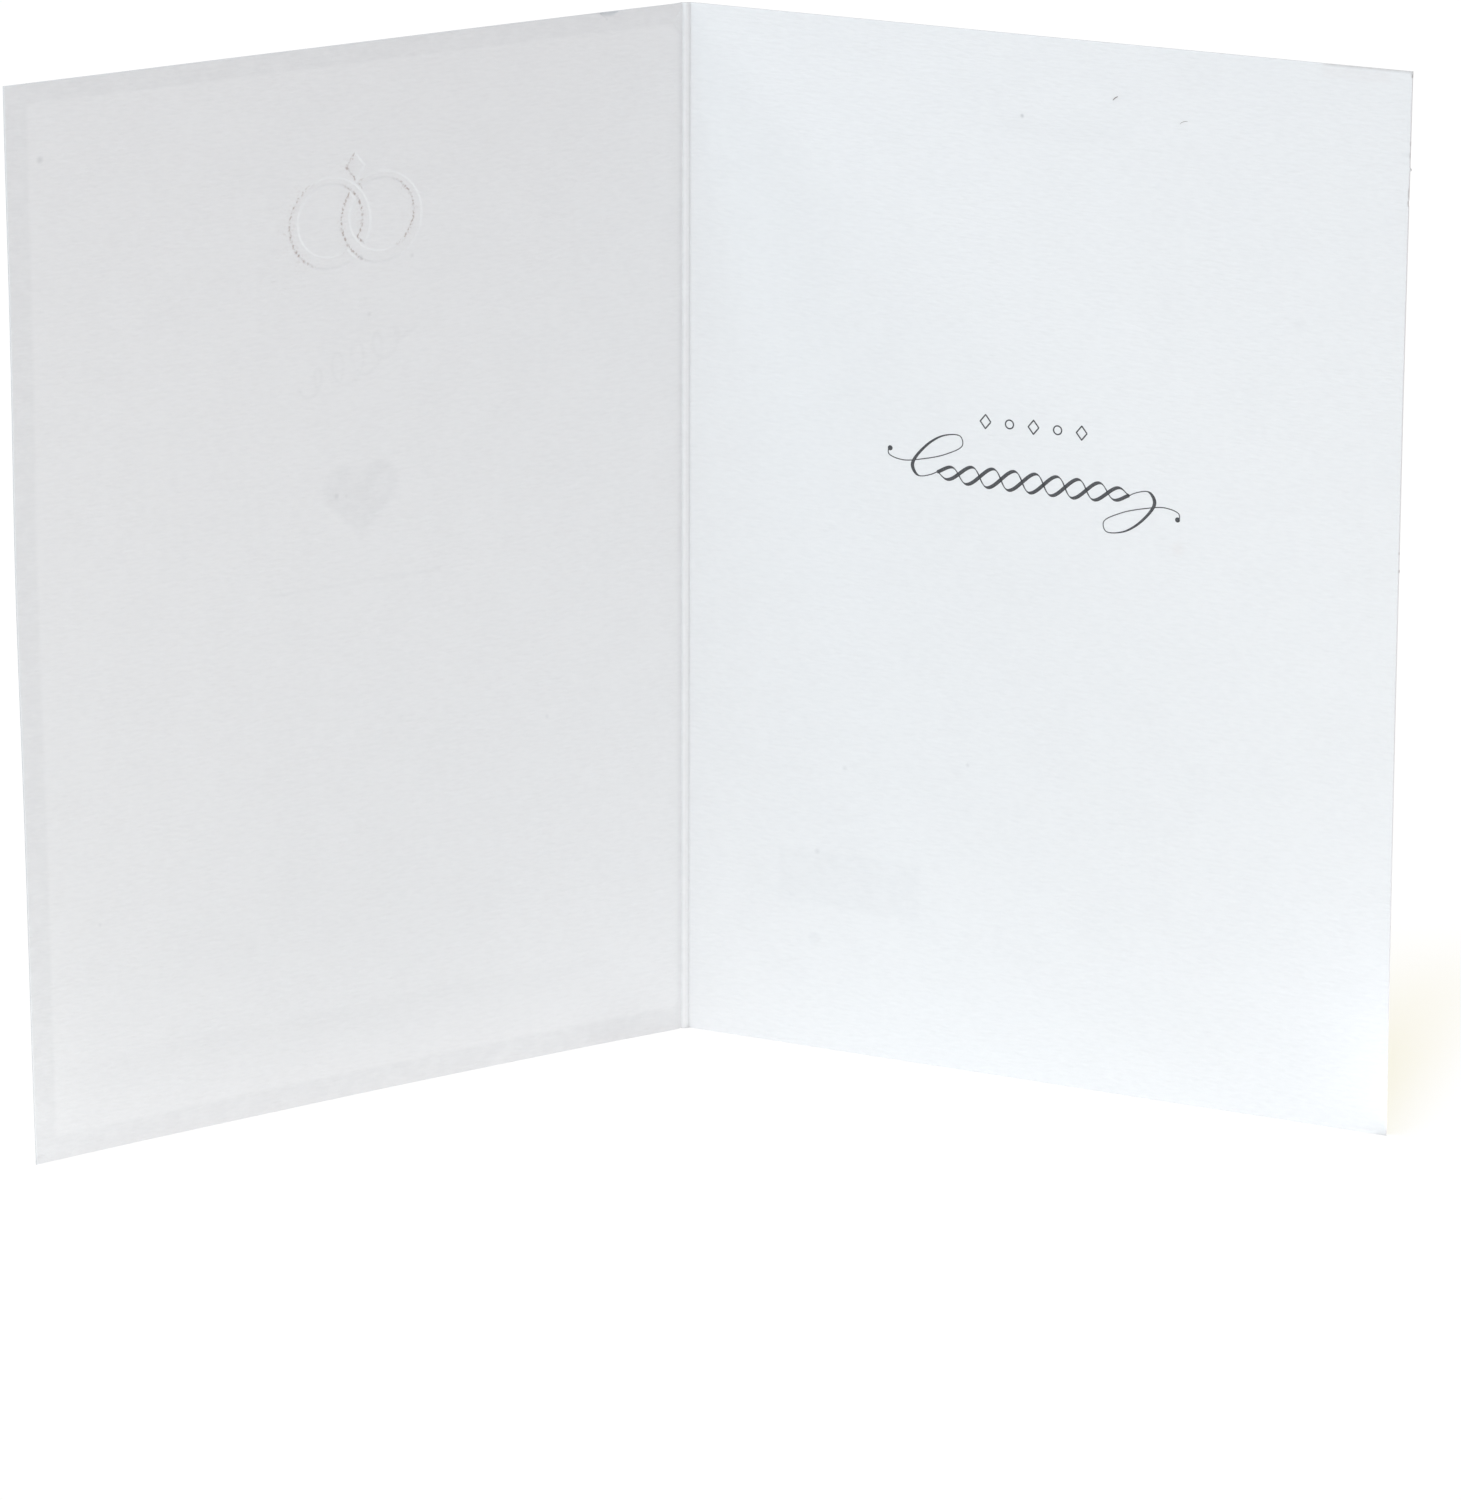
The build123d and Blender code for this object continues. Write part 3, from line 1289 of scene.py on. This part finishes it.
class Tree:
    """The nodes of a material or of the world."""

    def __init__(self, owner: Owner) -> None:
        """Empties the owner's nodes, to build them anew.

        Args:
            owner: the material or world.
        """
        owner.use_nodes = True
        self.owner = owner
        self.nodes, self.links = owner.node_tree.nodes, owner.node_tree.links
        self.nodes.clear()

    def node(self, kind: str, settings: dict | None = None, values: dict | None = None,
             output: int | str = 0) -> Wire:
        """Adds a node.

        Args:
            kind: the node's type.
            settings: its properties, set before its sockets.
            values: a Wire, number or tuple for each input, by name or place.
            output: the output that is wanted, by name or place.

        Returns:
            That output.
        """
        made = self.nodes.new(kind)
        for name, value in (settings or {}).items():
            setattr(made, name, value)
        for name, value in (values or {}).items():
            if isinstance(value, Wire):
                self.links.new(value.socket, made.inputs[name])
            else:
                made.inputs[name].default_value = value
        return Wire(self, made.outputs[output] if made.outputs else None)

    def mask(self, mask: Mask) -> Wire:
        """What is painted on the sheet's points."""
        return self.node("ShaderNodeAttribute", {"attribute_name": mask.value}, {}, "Fac")

    def sheet_place(self) -> Wire:
        """Place on the sheet: distance from the fold and height, in metres."""
        return self.node("ShaderNodeUVMap", {"uv_map": SHEET_MAP})

    def room_place(self) -> Wire:
        """Place in the room, in metres."""
        return self.node("ShaderNodeTexCoord", {}, {}, "Object")

    def noise(self, place: Wire, scale: float, detail: float = 2.0, roughness: float = 0.5) -> Wire:
        """Smooth noise from 0 to 1."""
        return self.node("ShaderNodeTexNoise", {},
                         {"Vector": place, "Scale": scale, "Detail": detail, "Roughness": roughness}, "Fac")

    def grain(self, length: float, width: float, detail: float) -> Wire:
        """Noise on the sheet whose grains have a length across it and a width up it, in millimetres."""
        return self.noise(self.sheet_place().stretched(1 / (length * MM), 1 / (width * MM)), 1.0, detail)

    def bump(self, height: Wire, depth: float, strength: float = 1.0) -> Wire:
        """A normal over a relief whose depth is in millimetres."""
        return self.node("ShaderNodeBump", {},
                         {"Strength": strength, "Distance": depth * MM, "Height": height})

    def blend(self, factor: Wire | float, first: Wire | Colour, second: Wire | Colour) -> Wire:
        """A colour between two others."""
        first, second = (c if isinstance(c, Wire) else (*c, 1.0) for c in (first, second))
        return self.node("ShaderNodeMix", {"data_type": "RGBA"}, {0: factor, 6: first, 7: second}, 2)

    def coated(self, colour: Wire, coats: Iterable[tuple[Wire, Colour]]) -> Wire:
        """A colour under others, each laid on it by its amount.

        Args:
            colour: the lowest colour.
            coats: an amount and a colour for each coat, in order.

        Returns:
            The colour on top.
        """
        for amount, coat in coats:
            colour = self.blend(amount, colour, coat)
        return colour

    def surface(self, colour: Wire, normal: Wire, roughness: Wire | float, specular: float,
                metallic: Wire | float = 0.0) -> Wire:
        """A Principled shader.

        Args:
            colour: its base colour.
            normal: its normal.
            roughness: its roughness.
            specular: how strongly it shines.
            metallic: how much of it is metal.

        Returns:
            The shader.
        """
        return self.node("ShaderNodeBsdfPrincipled", {}, {
            "Base Color": colour, "Normal": normal, "Roughness": roughness,
            "Specular IOR Level": specular, "Metallic": metallic})

    def even(self, kind: str, colour: Colour, **values: float) -> Wire:
        """A shader of one colour, with other inputs by name."""
        return self.node(kind, {}, {"Color": (*colour, 1.0)} | values)

    def mixed(self, factor: Wire, first: Wire, second: Wire) -> Wire:
        """A shader between two others."""
        return self.node("ShaderNodeMixShader", {}, {0: factor, 1: first, 2: second})

    def seen_directly(self) -> Wire:
        """1 where the camera, a reflection or a clear material looks, 0 for other light.

        Returns:
            The value.
        """
        camera, glossy, clear = (self.node("ShaderNodeLightPath", {}, {}, name)
                                 for name in ("Is Camera Ray", "Is Glossy Ray", "Is Transmission Ray"))
        return camera.greater(glossy.greater(clear))

    def finish(self, surface: Wire, kind: str = "ShaderNodeOutputMaterial") -> Owner:
        """Shows a shader, and gives back the material or world that has it."""
        self.node(kind, {}, {"Surface": surface})
        return self.owner


@dataclass(frozen=True)
class Board:
    """White felt-marked board: faint streaks along the sheet, a fine tooth, and a soft cloudiness.

    A tone says how far a colour goes from white towards shade.
    """

    white: Colour = (0.885, 0.9, 0.917)
    shade: Colour = (0.62, 0.635, 0.66)
    dirt: Colour = (0.42, 0.4, 0.38)
    roughness: float = 0.82
    specular: float = 0.25
    base_tone: float = 0.03
    streak_length: float = 1.9
    streak_width: float = 0.5
    streak_depth: float = 0.085
    streak_tone: float = 0.22
    tooth_size: float = 0.35
    tooth_share: float = 0.2
    cloud_size: float = 9.0
    cloud_tone: float = 0.11

    def ground(self, tree: Tree) -> tuple[Wire, Wire]:
        """The bare board.

        Args:
            tree: the material's nodes.

        Returns:
            Its colour and its normal.
        """
        streaks = tree.grain(self.streak_length, self.streak_width, 1.5)
        tooth = tree.grain(self.tooth_size, self.tooth_size, 2.0)
        cloud = tree.grain(self.cloud_size, self.cloud_size, 3.0)
        tone = (cloud - 0.5) * self.cloud_tone + (streaks - 0.5) * self.streak_tone + self.base_tone
        normal = tree.bump(streaks + tooth * self.tooth_share, self.streak_depth)
        return tree.blend(tone, self.white, self.shade), normal

    def shown(self, tree: Tree, colour: Wire, normal: Wire) -> bpy.types.Material:
        """The board's material, in a colour and with a normal."""
        return tree.finish(tree.surface(colour, normal, self.roughness, self.specular))


@dataclass(frozen=True)
class InsideFinish:
    """The inner face: print faintly through from the front, stains, worn corner, painted light and shade."""

    board: Board = Board()
    # colour of the painted highlight on the fold's crest
    painted_crest_highlight: Colour = (0.965, 0.975, 0.985)
    warm: Colour = (0.78, 0.7, 0.69)
    # colour of rubbed foil, laid as painted shade on the ornament's walls
    rubbed_foil_and_wall_shade: Colour = (0.46, 0.37, 0.35)
    print_tone: float = 0.09
    mottle_tone: float = 0.07
    mottle_size: float = 3.0
    mottle_span: Span = (0.36, 0.6)
    wear_tone: float = 0.42
    rub_and_shade_tone: float = 0.04
    fleck_tone: float = 0.68
    flecks_per_metre: float = 1900.0
    fleck_span: Span = (0.46, 0.62)

    def material(self) -> bpy.types.Material:
        """Makes the material.

        Returns:
            The new material.
        """
        board, tree = self.board, Tree(bpy.data.materials.new("board_inside"))
        colour, normal = board.ground(tree)
        mottle = tree.noise(tree.sheet_place(), 1 / (self.mottle_size * MM)).between(*self.mottle_span)
        flecks = tree.noise(tree.sheet_place(), self.flecks_per_metre).between(*self.fleck_span)
        colour = tree.coated(colour, (
            # painted highlight on the fold's crest
            (tree.mask(Mask.PAINTED_CREST_HIGHLIGHT), self.painted_crest_highlight),
            (tree.mask(Mask.PRINT) * (mottle * self.mottle_tone + self.print_tone), board.shade),
            # stains and specks, and painted shade in the crease's valley
            (tree.mask(Mask.STAIN_AND_CREASE_SHADE), board.shade),
            (tree.mask(Mask.WARM), self.warm),
            (tree.mask(Mask.WEAR) * self.wear_tone, board.dirt),
            # rubbed foil in broken flecks, and painted shade, on the ornament's walls that face the fold
            (tree.mask(Mask.RUB_AND_WALL_SHADE) * (flecks * self.fleck_tone + self.rub_and_shade_tone), self.rubbed_foil_and_wall_shade),
        ))
        return board.shown(tree, colour, normal)


@dataclass(frozen=True)
class FrontFinish:
    """The front's outer face: a pale border and heart, and an ornament touched with foil."""

    board: Board = Board()
    printed: Colour = (0.66, 0.67, 0.70)
    print_tone: float = 0.8
    foil: Colour = (0.83, 0.72, 0.64)
    foil_span: Span = (0.35, 0.75)
    foil_metal: float = 0.85
    foil_polish: float = 0.48
    gaps_per_metre: float = 900.0
    gap_span: Span = (0.32, 0.46)

    def material(self) -> bpy.types.Material:
        """Makes the material.

        Returns:
            The new material.
        """
        board, tree = self.board, Tree(bpy.data.materials.new("board_front"))
        colour, normal = board.ground(tree)
        covered = tree.noise(tree.sheet_place(), self.gaps_per_metre, 3.0).between(*self.gap_span)
        foil = tree.mask(Mask.FOIL).between(*self.foil_span) * covered
        colour = tree.coated(colour, ((tree.mask(Mask.PRINT) * self.print_tone, self.printed),
                                      (foil, self.foil)))
        return tree.finish(tree.surface(colour, normal, board.roughness - foil * self.foil_polish,
                                        board.specular, foil * self.foil_metal))


@dataclass(frozen=True)
class BackFinish:
    """The back's outer face: plain, but for a pale empty panel near its foot."""

    board: Board = Board()
    printed: Colour = (0.74, 0.75, 0.78)
    print_tone: float = 0.5
    wear_tone: float = 0.3

    def material(self) -> bpy.types.Material:
        """Makes the material.

        Returns:
            The new material.
        """
        board, tree = self.board, Tree(bpy.data.materials.new("board_back"))
        colour, normal = board.ground(tree)
        colour = tree.coated(colour, ((tree.mask(Mask.PRINT) * self.print_tone, self.printed),
                                      (tree.mask(Mask.WEAR) * self.wear_tone, board.dirt)))
        return board.shown(tree, colour, normal)


@dataclass(frozen=True)
class EdgeFinish:
    """The cut edge, where the board's fibres show. The back cover's free edge is the palest: painted light.
    """

    board: Board = Board()
    cut: Colour = (0.58, 0.59, 0.6)
    painted_light_edge: Colour = (0.96, 0.965, 0.97)
    painted_light_edge_span: Span = (0.1265, 0.1275)
    fibres_per_metre: float = 5200.0
    fibre_tone: float = 0.25
    fibre_depth: float = 0.03
    fibre_strength: float = 0.6
    wear_tone: float = 0.9

    def material(self) -> bpy.types.Material:
        """Makes the material.

        Returns:
            The new material.
        """
        board, tree = self.board, Tree(bpy.data.materials.new("board_edge"))
        fibres = tree.noise(tree.room_place(), self.fibres_per_metre, 3.0, 0.6)
        # painted light: the back cover's free edge is painted much paler than the other cut edges
        painted_light_edge = tree.sheet_place().along((1.0, 0.0, 0.0)).between(*self.painted_light_edge_span)
        colour = tree.coated(tree.blend(painted_light_edge, self.cut, self.painted_light_edge), (
            ((fibres - 0.5) * self.fibre_tone, board.shade),
            (tree.mask(Mask.WEAR) * self.wear_tone, board.dirt),
        ))
        return board.shown(tree, colour, tree.bump(fibres, self.fibre_depth, self.fibre_strength))


@dataclass(frozen=True)
class FilmFinish:
    """Ink or fibre: a flat dark colour that the board's tooth breaks up a little."""

    name: str
    colour: Colour
    thin_colour: Colour
    roughness: float
    specular: float = 0.3
    grain_size: float = 0.12
    grain_depth: float = 0.01
    grain_strength: float = 0.5
    thin_span: Span = (0.45, 0.75)

    def material(self) -> bpy.types.Material:
        """Makes the material.

        Returns:
            The new material.
        """
        tree = Tree(bpy.data.materials.new(self.name))
        grain = tree.noise(tree.room_place(), 1 / (self.grain_size * MM))
        colour = tree.blend(grain.between(*self.thin_span), self.colour, self.thin_colour)
        normal = tree.bump(grain, self.grain_depth, self.grain_strength)
        return tree.finish(tree.surface(colour, normal, self.roughness, self.specular))


@dataclass(frozen=True)
class Lamp:
    """A soft rectangular lamp, in metres and watts, turned about the vertical by some degrees."""

    name: str
    place: tuple[float, float, float]
    size: Span
    power: float
    colour: Colour = WHITE
    target: tuple[float, float, float] = (0.0, 0.0, 0.09)
    turn: float = 0.0

    def build(self) -> None:
        """Hangs the lamp, unseen by the camera."""
        data = bpy.data.lights.new(self.name, "AREA")
        data.shape = "RECTANGLE"
        data.size, data.size_y = self.size
        data.energy, data.color = self.power, self.colour
        lamp = bpy.data.objects.new(self.name, data)
        aim = (Vector(self.target) - Vector(self.place)).to_track_quat("-Z", "Y").to_matrix()
        turned = Matrix.Rotation(math.radians(self.turn), 3, "Z") @ aim
        lamp.matrix_world = Matrix.Translation(self.place) @ turned.to_4x4()
        lamp.visible_camera = False
        bpy.context.scene.collection.objects.link(lamp)


@dataclass(frozen=True)
class FloorGlow:
    """Light from a patch of the floor in front of a cover, in watts.

    The patch lies between two distances from the fold, and two in front of the cover, in millimetres.
    """

    name: str
    side: Side
    along: Span
    ahead: Span
    power: float
    colour: Colour = WHITE
    lift: float = 0.03

    def lamp(self, sheet: FoldedSheet) -> Lamp:
        """The patch as a lamp that faces up.

        Args:
            sheet: the sheet that it lights.

        Returns:
            The lamp, not yet built.
        """
        along, inward = sheet.along(self.side), -sheet.outward(self.side)
        middle = (sheet.origin[:2] + along * sum(self.along) / 2 + inward * sum(self.ahead) / 2) * MM
        size = ((self.along[1] - self.along[0]) * MM, (self.ahead[1] - self.ahead[0]) * MM)
        turn = math.degrees(math.atan2(along[1], along[0]))
        return Lamp(self.name, (*middle, self.lift * MM), size, self.power, self.colour, (*middle, 1.0), turn)


@dataclass(frozen=True)
class FloorShadow:
    """How the white floor shows the card's shadow. Lengths are in metres.

    It is yellowish, and lies behind the back cover. Its front edge runs back from the corner of that
    cover's foot, and it thins out further behind.
    """

    share: Colour = (0.33, 0.42, 1.0)
    full_light: float = 0.89
    heading: float = 22.0
    front_edge: Span = (-0.0099, 0.0126)
    cover_edge: Span = (0.0004, 0.0015)
    rear_edge: Span = (0.0, 0.1)

    def strength(self, tree: Tree, sheet: FoldedSheet) -> Wire:
        """How much of the shadow the floor shows at each place, from 0 to 1.

        Args:
            tree: the floor's nodes.
            sheet: the sheet that casts it.

        Returns:
            The amount.
        """
        place, turn = tree.room_place(), math.radians(self.heading)
        corner = sheet.place(np.array([[sheet.back.width, 0.0]]), np.zeros(1))[0] * MM
        beside = place.along((-math.cos(turn), math.sin(turn), 0.0), corner).between(*self.front_edge)
        behind = place.along((*sheet.outward(Side.BACK), 0.0), sheet.origin * MM).between(*self.cover_edge)
        return beside * behind * (1 - place.along((0.0, 1.0, 0.0)).between(*self.rear_edge))

    def shader(self, tree: Tree) -> Wire:
        """The floor in full shadow: white, less what the light on it lacks.

        Args:
            tree: the floor's nodes.

        Returns:
            The shader.
        """
        lit = tree.even("ShaderNodeBsdfDiffuse", self.share)
        rest = tuple(1 - share * self.full_light for share in self.share)
        unlit = tree.even("ShaderNodeEmission", rest, Strength=1.0)
        return tree.node("ShaderNodeAddShader", {}, {0: unlit, 1: lit})


@dataclass(frozen=True)
class Studio:
    """A white floor under an even white sky, with soft lamps, brighter beside the card's foot."""

    floor_reach: float = 3.0
    floor_drop: float = 0.00003
    floor_white: Colour = (0.86, 0.86, 0.86)
    floor_glow: float = 1.02
    shadow: FloorShadow = FloorShadow()
    sky: Colour = (0.624, 0.594, 0.595)
    lamps: tuple[Lamp, ...] = (
        Lamp("high_left", (-0.9, -0.5, 1.3), (0.6, 0.6), 5.09, (0.75, 1.0, 1.117)),
        Lamp("near_left", (-0.3, -0.45, 0.25), (0.2, 0.2), 0.205, (0.957, 1.0, 1.028)),
        Lamp("over_left", (-0.9, 0.3, 1.0), (0.4, 0.4), 3.3, (0.963, 1.0, 1.02)),
        Lamp("low_front", (0.0, -0.3, 0.02), (0.5, 0.06), 0.1415, (1.045, 1.0, 0.843), (0.0, 0.0, 0.03)),
    )
    glows: tuple[FloorGlow, ...] = (
        FloorGlow("glow_back_wide", Side.BACK, (1.0, 126.0), (-0.2, 45.0), 0.0061, (1.01, 1.0, 0.99)),
        FloorGlow("glow_back_end", Side.BACK, (129.0, 169.0), (-20.0, 40.0), 0.01023, (0.954, 1.0, 1.064)),
        FloorGlow("glow_front_wide", Side.FRONT, (20.0, 126.0), (-1.3, 45.0), 0.0022, (1.02, 1.0, 0.967)),
        FloorGlow("glow_front_close", Side.FRONT, (20.0, 126.0), (-1.3, 15.0), 0.00094, (1.05, 1.0, 0.975)),
        FloorGlow("glow_front_fold", Side.FRONT, (1.0, 20.0), (-1.3, 15.0), 0.00007, (1.08, 1.0, 0.97)),
        FloorGlow("glow_front_foot", Side.FRONT, (1.0, 20.5), (-1.3, 3.0), 0.00005, (1.08, 1.0, 0.97)),
        FloorGlow("glow_front_end", Side.FRONT, (129.0, 169.0), (-20.0, 40.0), 0.00465, (1.017, 1.0, 0.937)),
    )

    def build_floor(self, sheet: FoldedSheet) -> None:
        """Lays the floor. It looks white but for the card's faint shadow.

        Args:
            sheet: the sheet that stands on it.
        """
        reach = self.floor_reach
        corners = [(x * reach, y * reach, -self.floor_drop) for x, y in ((-1, -1), (1, -1), (1, 1), (-1, 1))]
        mesh = bpy.data.meshes.new("floor")
        mesh.from_pydata(corners, [], [(0, 1, 2, 3)])
        floor = bpy.data.objects.new("floor", mesh)
        bpy.context.scene.collection.objects.link(floor)
        tree = Tree(bpy.data.materials.new("floor"))
        white = tree.even("ShaderNodeEmission", WHITE, Strength=self.floor_glow)
        shown = tree.mixed(self.shadow.strength(tree, sheet), white, self.shadow.shader(tree))
        plain = tree.even("ShaderNodeBsdfDiffuse", self.floor_white)
        mesh.materials.append(tree.finish(tree.mixed(tree.seen_directly(), plain, shown)))

    def build_sky(self) -> None:
        """Lights the scene evenly, and shows white behind it."""
        world = bpy.data.worlds.new("sky")
        bpy.context.scene.world = world
        tree = Tree(world)
        light, white = (tree.even("ShaderNodeBackground", colour, Strength=1.0)
                        for colour in (self.sky, WHITE))
        tree.finish(tree.mixed(tree.seen_directly(), light, white), "ShaderNodeOutputWorld")

    def build(self, sheet: FoldedSheet) -> None:
        """Sets up the whole studio around the sheet.

        Args:
            sheet: the sheet.
        """
        self.build_floor(sheet)
        self.build_sky()
        for lamp in (*self.lamps, *(glow.lamp(sheet) for glow in self.glows)):
            lamp.build()


@dataclass(frozen=True)
class Viewpoint:
    """The photograph's camera.

    Its place and clip are in metres, its angles in degrees, and its lens and sensor in millimetres.
    """

    place: tuple[float, float, float] = (-0.08061, -1.20551, 0.42204)
    yaw: float = 4.0598
    pitch: float = 16.7177
    roll: float = 0.062
    lens: float = 183.543
    sensor: float = 36.0
    clip: Span = (0.05, 20.0)

    def build(self) -> None:
        """Makes the camera and looks through it."""
        yaw, pitch, roll = (math.radians(angle) for angle in (self.yaw, self.pitch, self.roll))
        ahead = Vector((math.sin(yaw) * math.cos(pitch), math.cos(yaw) * math.cos(pitch), -math.sin(pitch)))
        right = Vector((math.cos(yaw), -math.sin(yaw), 0.0))
        above = right.cross(ahead)
        rolled_right = math.cos(roll) * right + math.sin(roll) * above
        rolled_above = math.cos(roll) * above - math.sin(roll) * right
        data = bpy.data.cameras.new("camera")
        data.lens, data.sensor_width, data.sensor_fit = self.lens, self.sensor, "AUTO"
        data.clip_start, data.clip_end = self.clip
        camera = bpy.data.objects.new("camera", data)
        turn = Matrix((rolled_right, rolled_above, -ahead)).transposed()
        camera.matrix_world = Matrix.Translation(self.place) @ turn.to_4x4()
        bpy.context.scene.collection.objects.link(camera)
        bpy.context.scene.camera = camera


@dataclass(frozen=True)
class PennedLoops:
    """A running line of round pen loops on the front cover."""

    start: Place = (74.1, 121.5)
    end: Place = (52.1, 129.8)
    loops: int = 6
    half_height: float = 3.2
    narrowing: float = 0.62
    half_line: float = 0.28
    early_end: float = 1.1
    steps: int = 26
    margin: float = 5.0

    def line(self) -> Array:
        """The line's points.

        Returns:
            One row of distance from the fold and height for each point.
        """
        share = np.linspace(0.0, 1.0, self.loops * self.steps)
        turn = 2 * np.pi * self.loops * share
        swell = self.half_height * np.sin(np.pi * np.clip(share * self.early_end, 0.0, 1.0)) ** 0.5
        middle = np.array(self.start) + share[:, None] * (np.array(self.end) - self.start)
        return middle + np.stack([np.sin(turn), np.cos(turn)], 1) * swell[:, None] * (self.narrowing, 1.0)

    def distance(self, x: Array, y: Array) -> Array:
        """Signed distance to the line, as far as it can matter: it is only worked out close by.

        Args:
            x: distances from the fold, on the front cover.
            y: heights.

        Returns:
            Distances, negative inside, and a large number further away.
        """
        far = 1e3
        low = np.minimum(self.start, self.end) - self.margin
        high = np.maximum(self.start, self.end) + self.margin
        near = np.full(x.shape, far)
        close = (x > low[0]) & (x < high[0]) & (y > low[1]) & (y < high[1])
        line = self.line()
        gaps = np.hypot(x[close][:, None] - line[:, 0], y[close][:, None] - line[:, 1])
        near[close] = gaps.min(1) - self.half_line
        return near


@dataclass(frozen=True)
class SheetPaints:
    """All that is painted on the sheet: what shows through from its outside, and its specks and stains.

    A speck has its distance from the fold, its height, its radius and its strength.
    """

    loops: PennedLoops = PennedLoops()
    front_specks: tuple[tuple[float, float, float, float], ...] = (
        (120.2, 165.6, 0.44, 0.5), (62.2, 142.6, 0.31, 0.5), (52.7, 141.85, 0.28, 0.33),
        (60.8, 133.1, 0.3, 0.3), (27.4, 59.8, 0.29, 0.27), (113.0, 38.4, 0.24, 0.26),
        (67.3, 103.45, 0.36, 0.38), (65.5, 103.25, 0.2, 0.2), (15.6, 176.8, 0.16, 0.35))
    back_specks: tuple[tuple[float, float, float, float], ...] = (
        (29.65, 50.25, 0.36, 0.27), (52.2, 53.8, 0.27, 0.38), (24.7, 35.0, 0.37, 0.34),
        (60.7, 164.7, 0.26, 0.9))
    speck_pitch: float = 0.12

    def shown_through(self, height: float) -> list[Paint]:
        """What is printed on the outside of a card of some height: border, heart, loops, rule and panel.

        Args:
            height: height of the card.

        Returns:
            The paints, in the order that they are laid out.
        """
        border = outside(box(1.7, 122.35, 4.15, height - 3.3))
        plain_heart = heart(62.7, 104.55, lobe=3.1, spread=3.0, drop=7.6, rounding=0.8)
        rule, panel = box(47.9, 80.0, 88.1, 88.7), box(17.6, 43.6, 25.4, 35.15)
        return [
            Paint(Mask.PRINT, Side.FRONT, border, softness=0.3, strength=1.0, pitch=0.35),
            Paint(Mask.PRINT, Side.FRONT, plain_heart, softness=0.9, strength=1.0, pitch=0.3),
            Paint(Mask.PRINT, Side.FRONT, self.loops.distance, softness=0.28, strength=0.7, pitch=0.22),
            Paint(Mask.PRINT, Side.FRONT, rule, softness=0.35, strength=0.6, pitch=0.25),
            Paint(Mask.PRINT, Side.BACK, panel, softness=0.5, strength=0.55, pitch=0.4),
        ]

    def stains(self) -> list[Paint]:
        """Faint grey and warm stains on the back cover's inner face.

        Returns:
            The paints.
        """
        stains = (
            (Mask.STAIN_AND_CREASE_SHADE, disc(24.2, 19.5, 1.1), 0.4, 0.12, 0.2),
            (Mask.STAIN_AND_CREASE_SHADE, disc(109.8, 135.2, 1.2), 0.6, 0.07, 0.25),
            (Mask.STAIN_AND_CREASE_SHADE, box(56.8, 79.8, 161.5, 164.5), 1.6, 0.05, 0.6),
            (Mask.STAIN_AND_CREASE_SHADE, box(126.3, 127.8, 164.3, 164.9), 0.3, 0.15, 0.2),
            (Mask.WARM, disc(89.3, 95.5, 0.9), 0.9, 0.16, 0.25),
            (Mask.WARM, box(112.5, 124.0, 175.8, 178.2), 0.4, 0.1, 0.3),
        )
        return [Paint(mask, Side.BACK, shape, softness, strength, pitch)
                for mask, shape, softness, strength, pitch in stains]

    def specks(self) -> list[Paint]:
        """Soft grey specks on both inner faces.

        Returns:
            The paints.
        """
        return [Paint(Mask.STAIN_AND_CREASE_SHADE, side, disc(across, up, radius), radius, strength, self.speck_pitch)
                for side, specks in ((Side.FRONT, self.front_specks), (Side.BACK, self.back_specks))
                for across, up, radius, strength in specks]

    def paints(self, height: float) -> list[Paint]:
        """Everything, for a card of some height."""
        return [*self.shown_through(height), *self.stains(), *self.specks()]


def main() -> None:
    """Builds the card, the studio and the camera."""
    logging.basicConfig(level=logging.INFO, format="%(message)s")
    log = logging.getLogger("card")
    sheet = FoldedSheet()
    sheet.seat(*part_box("card"))
    finishes = {Surface.INSIDE: InsideFinish().material(), Surface.FRONT: FrontFinish().material(),
                Surface.BACK: BackFinish().material(), Surface.EDGE: EdgeFinish().material()}
    ink = FilmFinish("ink", (0.07, 0.073, 0.08), (0.16, 0.165, 0.175), 0.6)
    fibre = FilmFinish("fibre", (0.16, 0.13, 0.12), (0.26, 0.23, 0.21), 0.7)
    pieces = [
        SheetPiece(sheet, SheetPaints().paints(sheet.height)).build(finishes),
        InsidePrint().build(sheet, ink.material()),
        Lint().build(sheet, fibre.material()),
    ]
    for piece in pieces:
        triangles = sum(len(face.vertices) - 2 for face in piece.data.polygons)
        log.info("%s: %d triangles", piece.name, triangles)
    Studio().build(sheet)
    Viewpoint().build()
    bpy.context.scene.view_settings.view_transform = "Standard"
    bpy.context.view_layer.update()


if __name__ == "__main__":
    main()
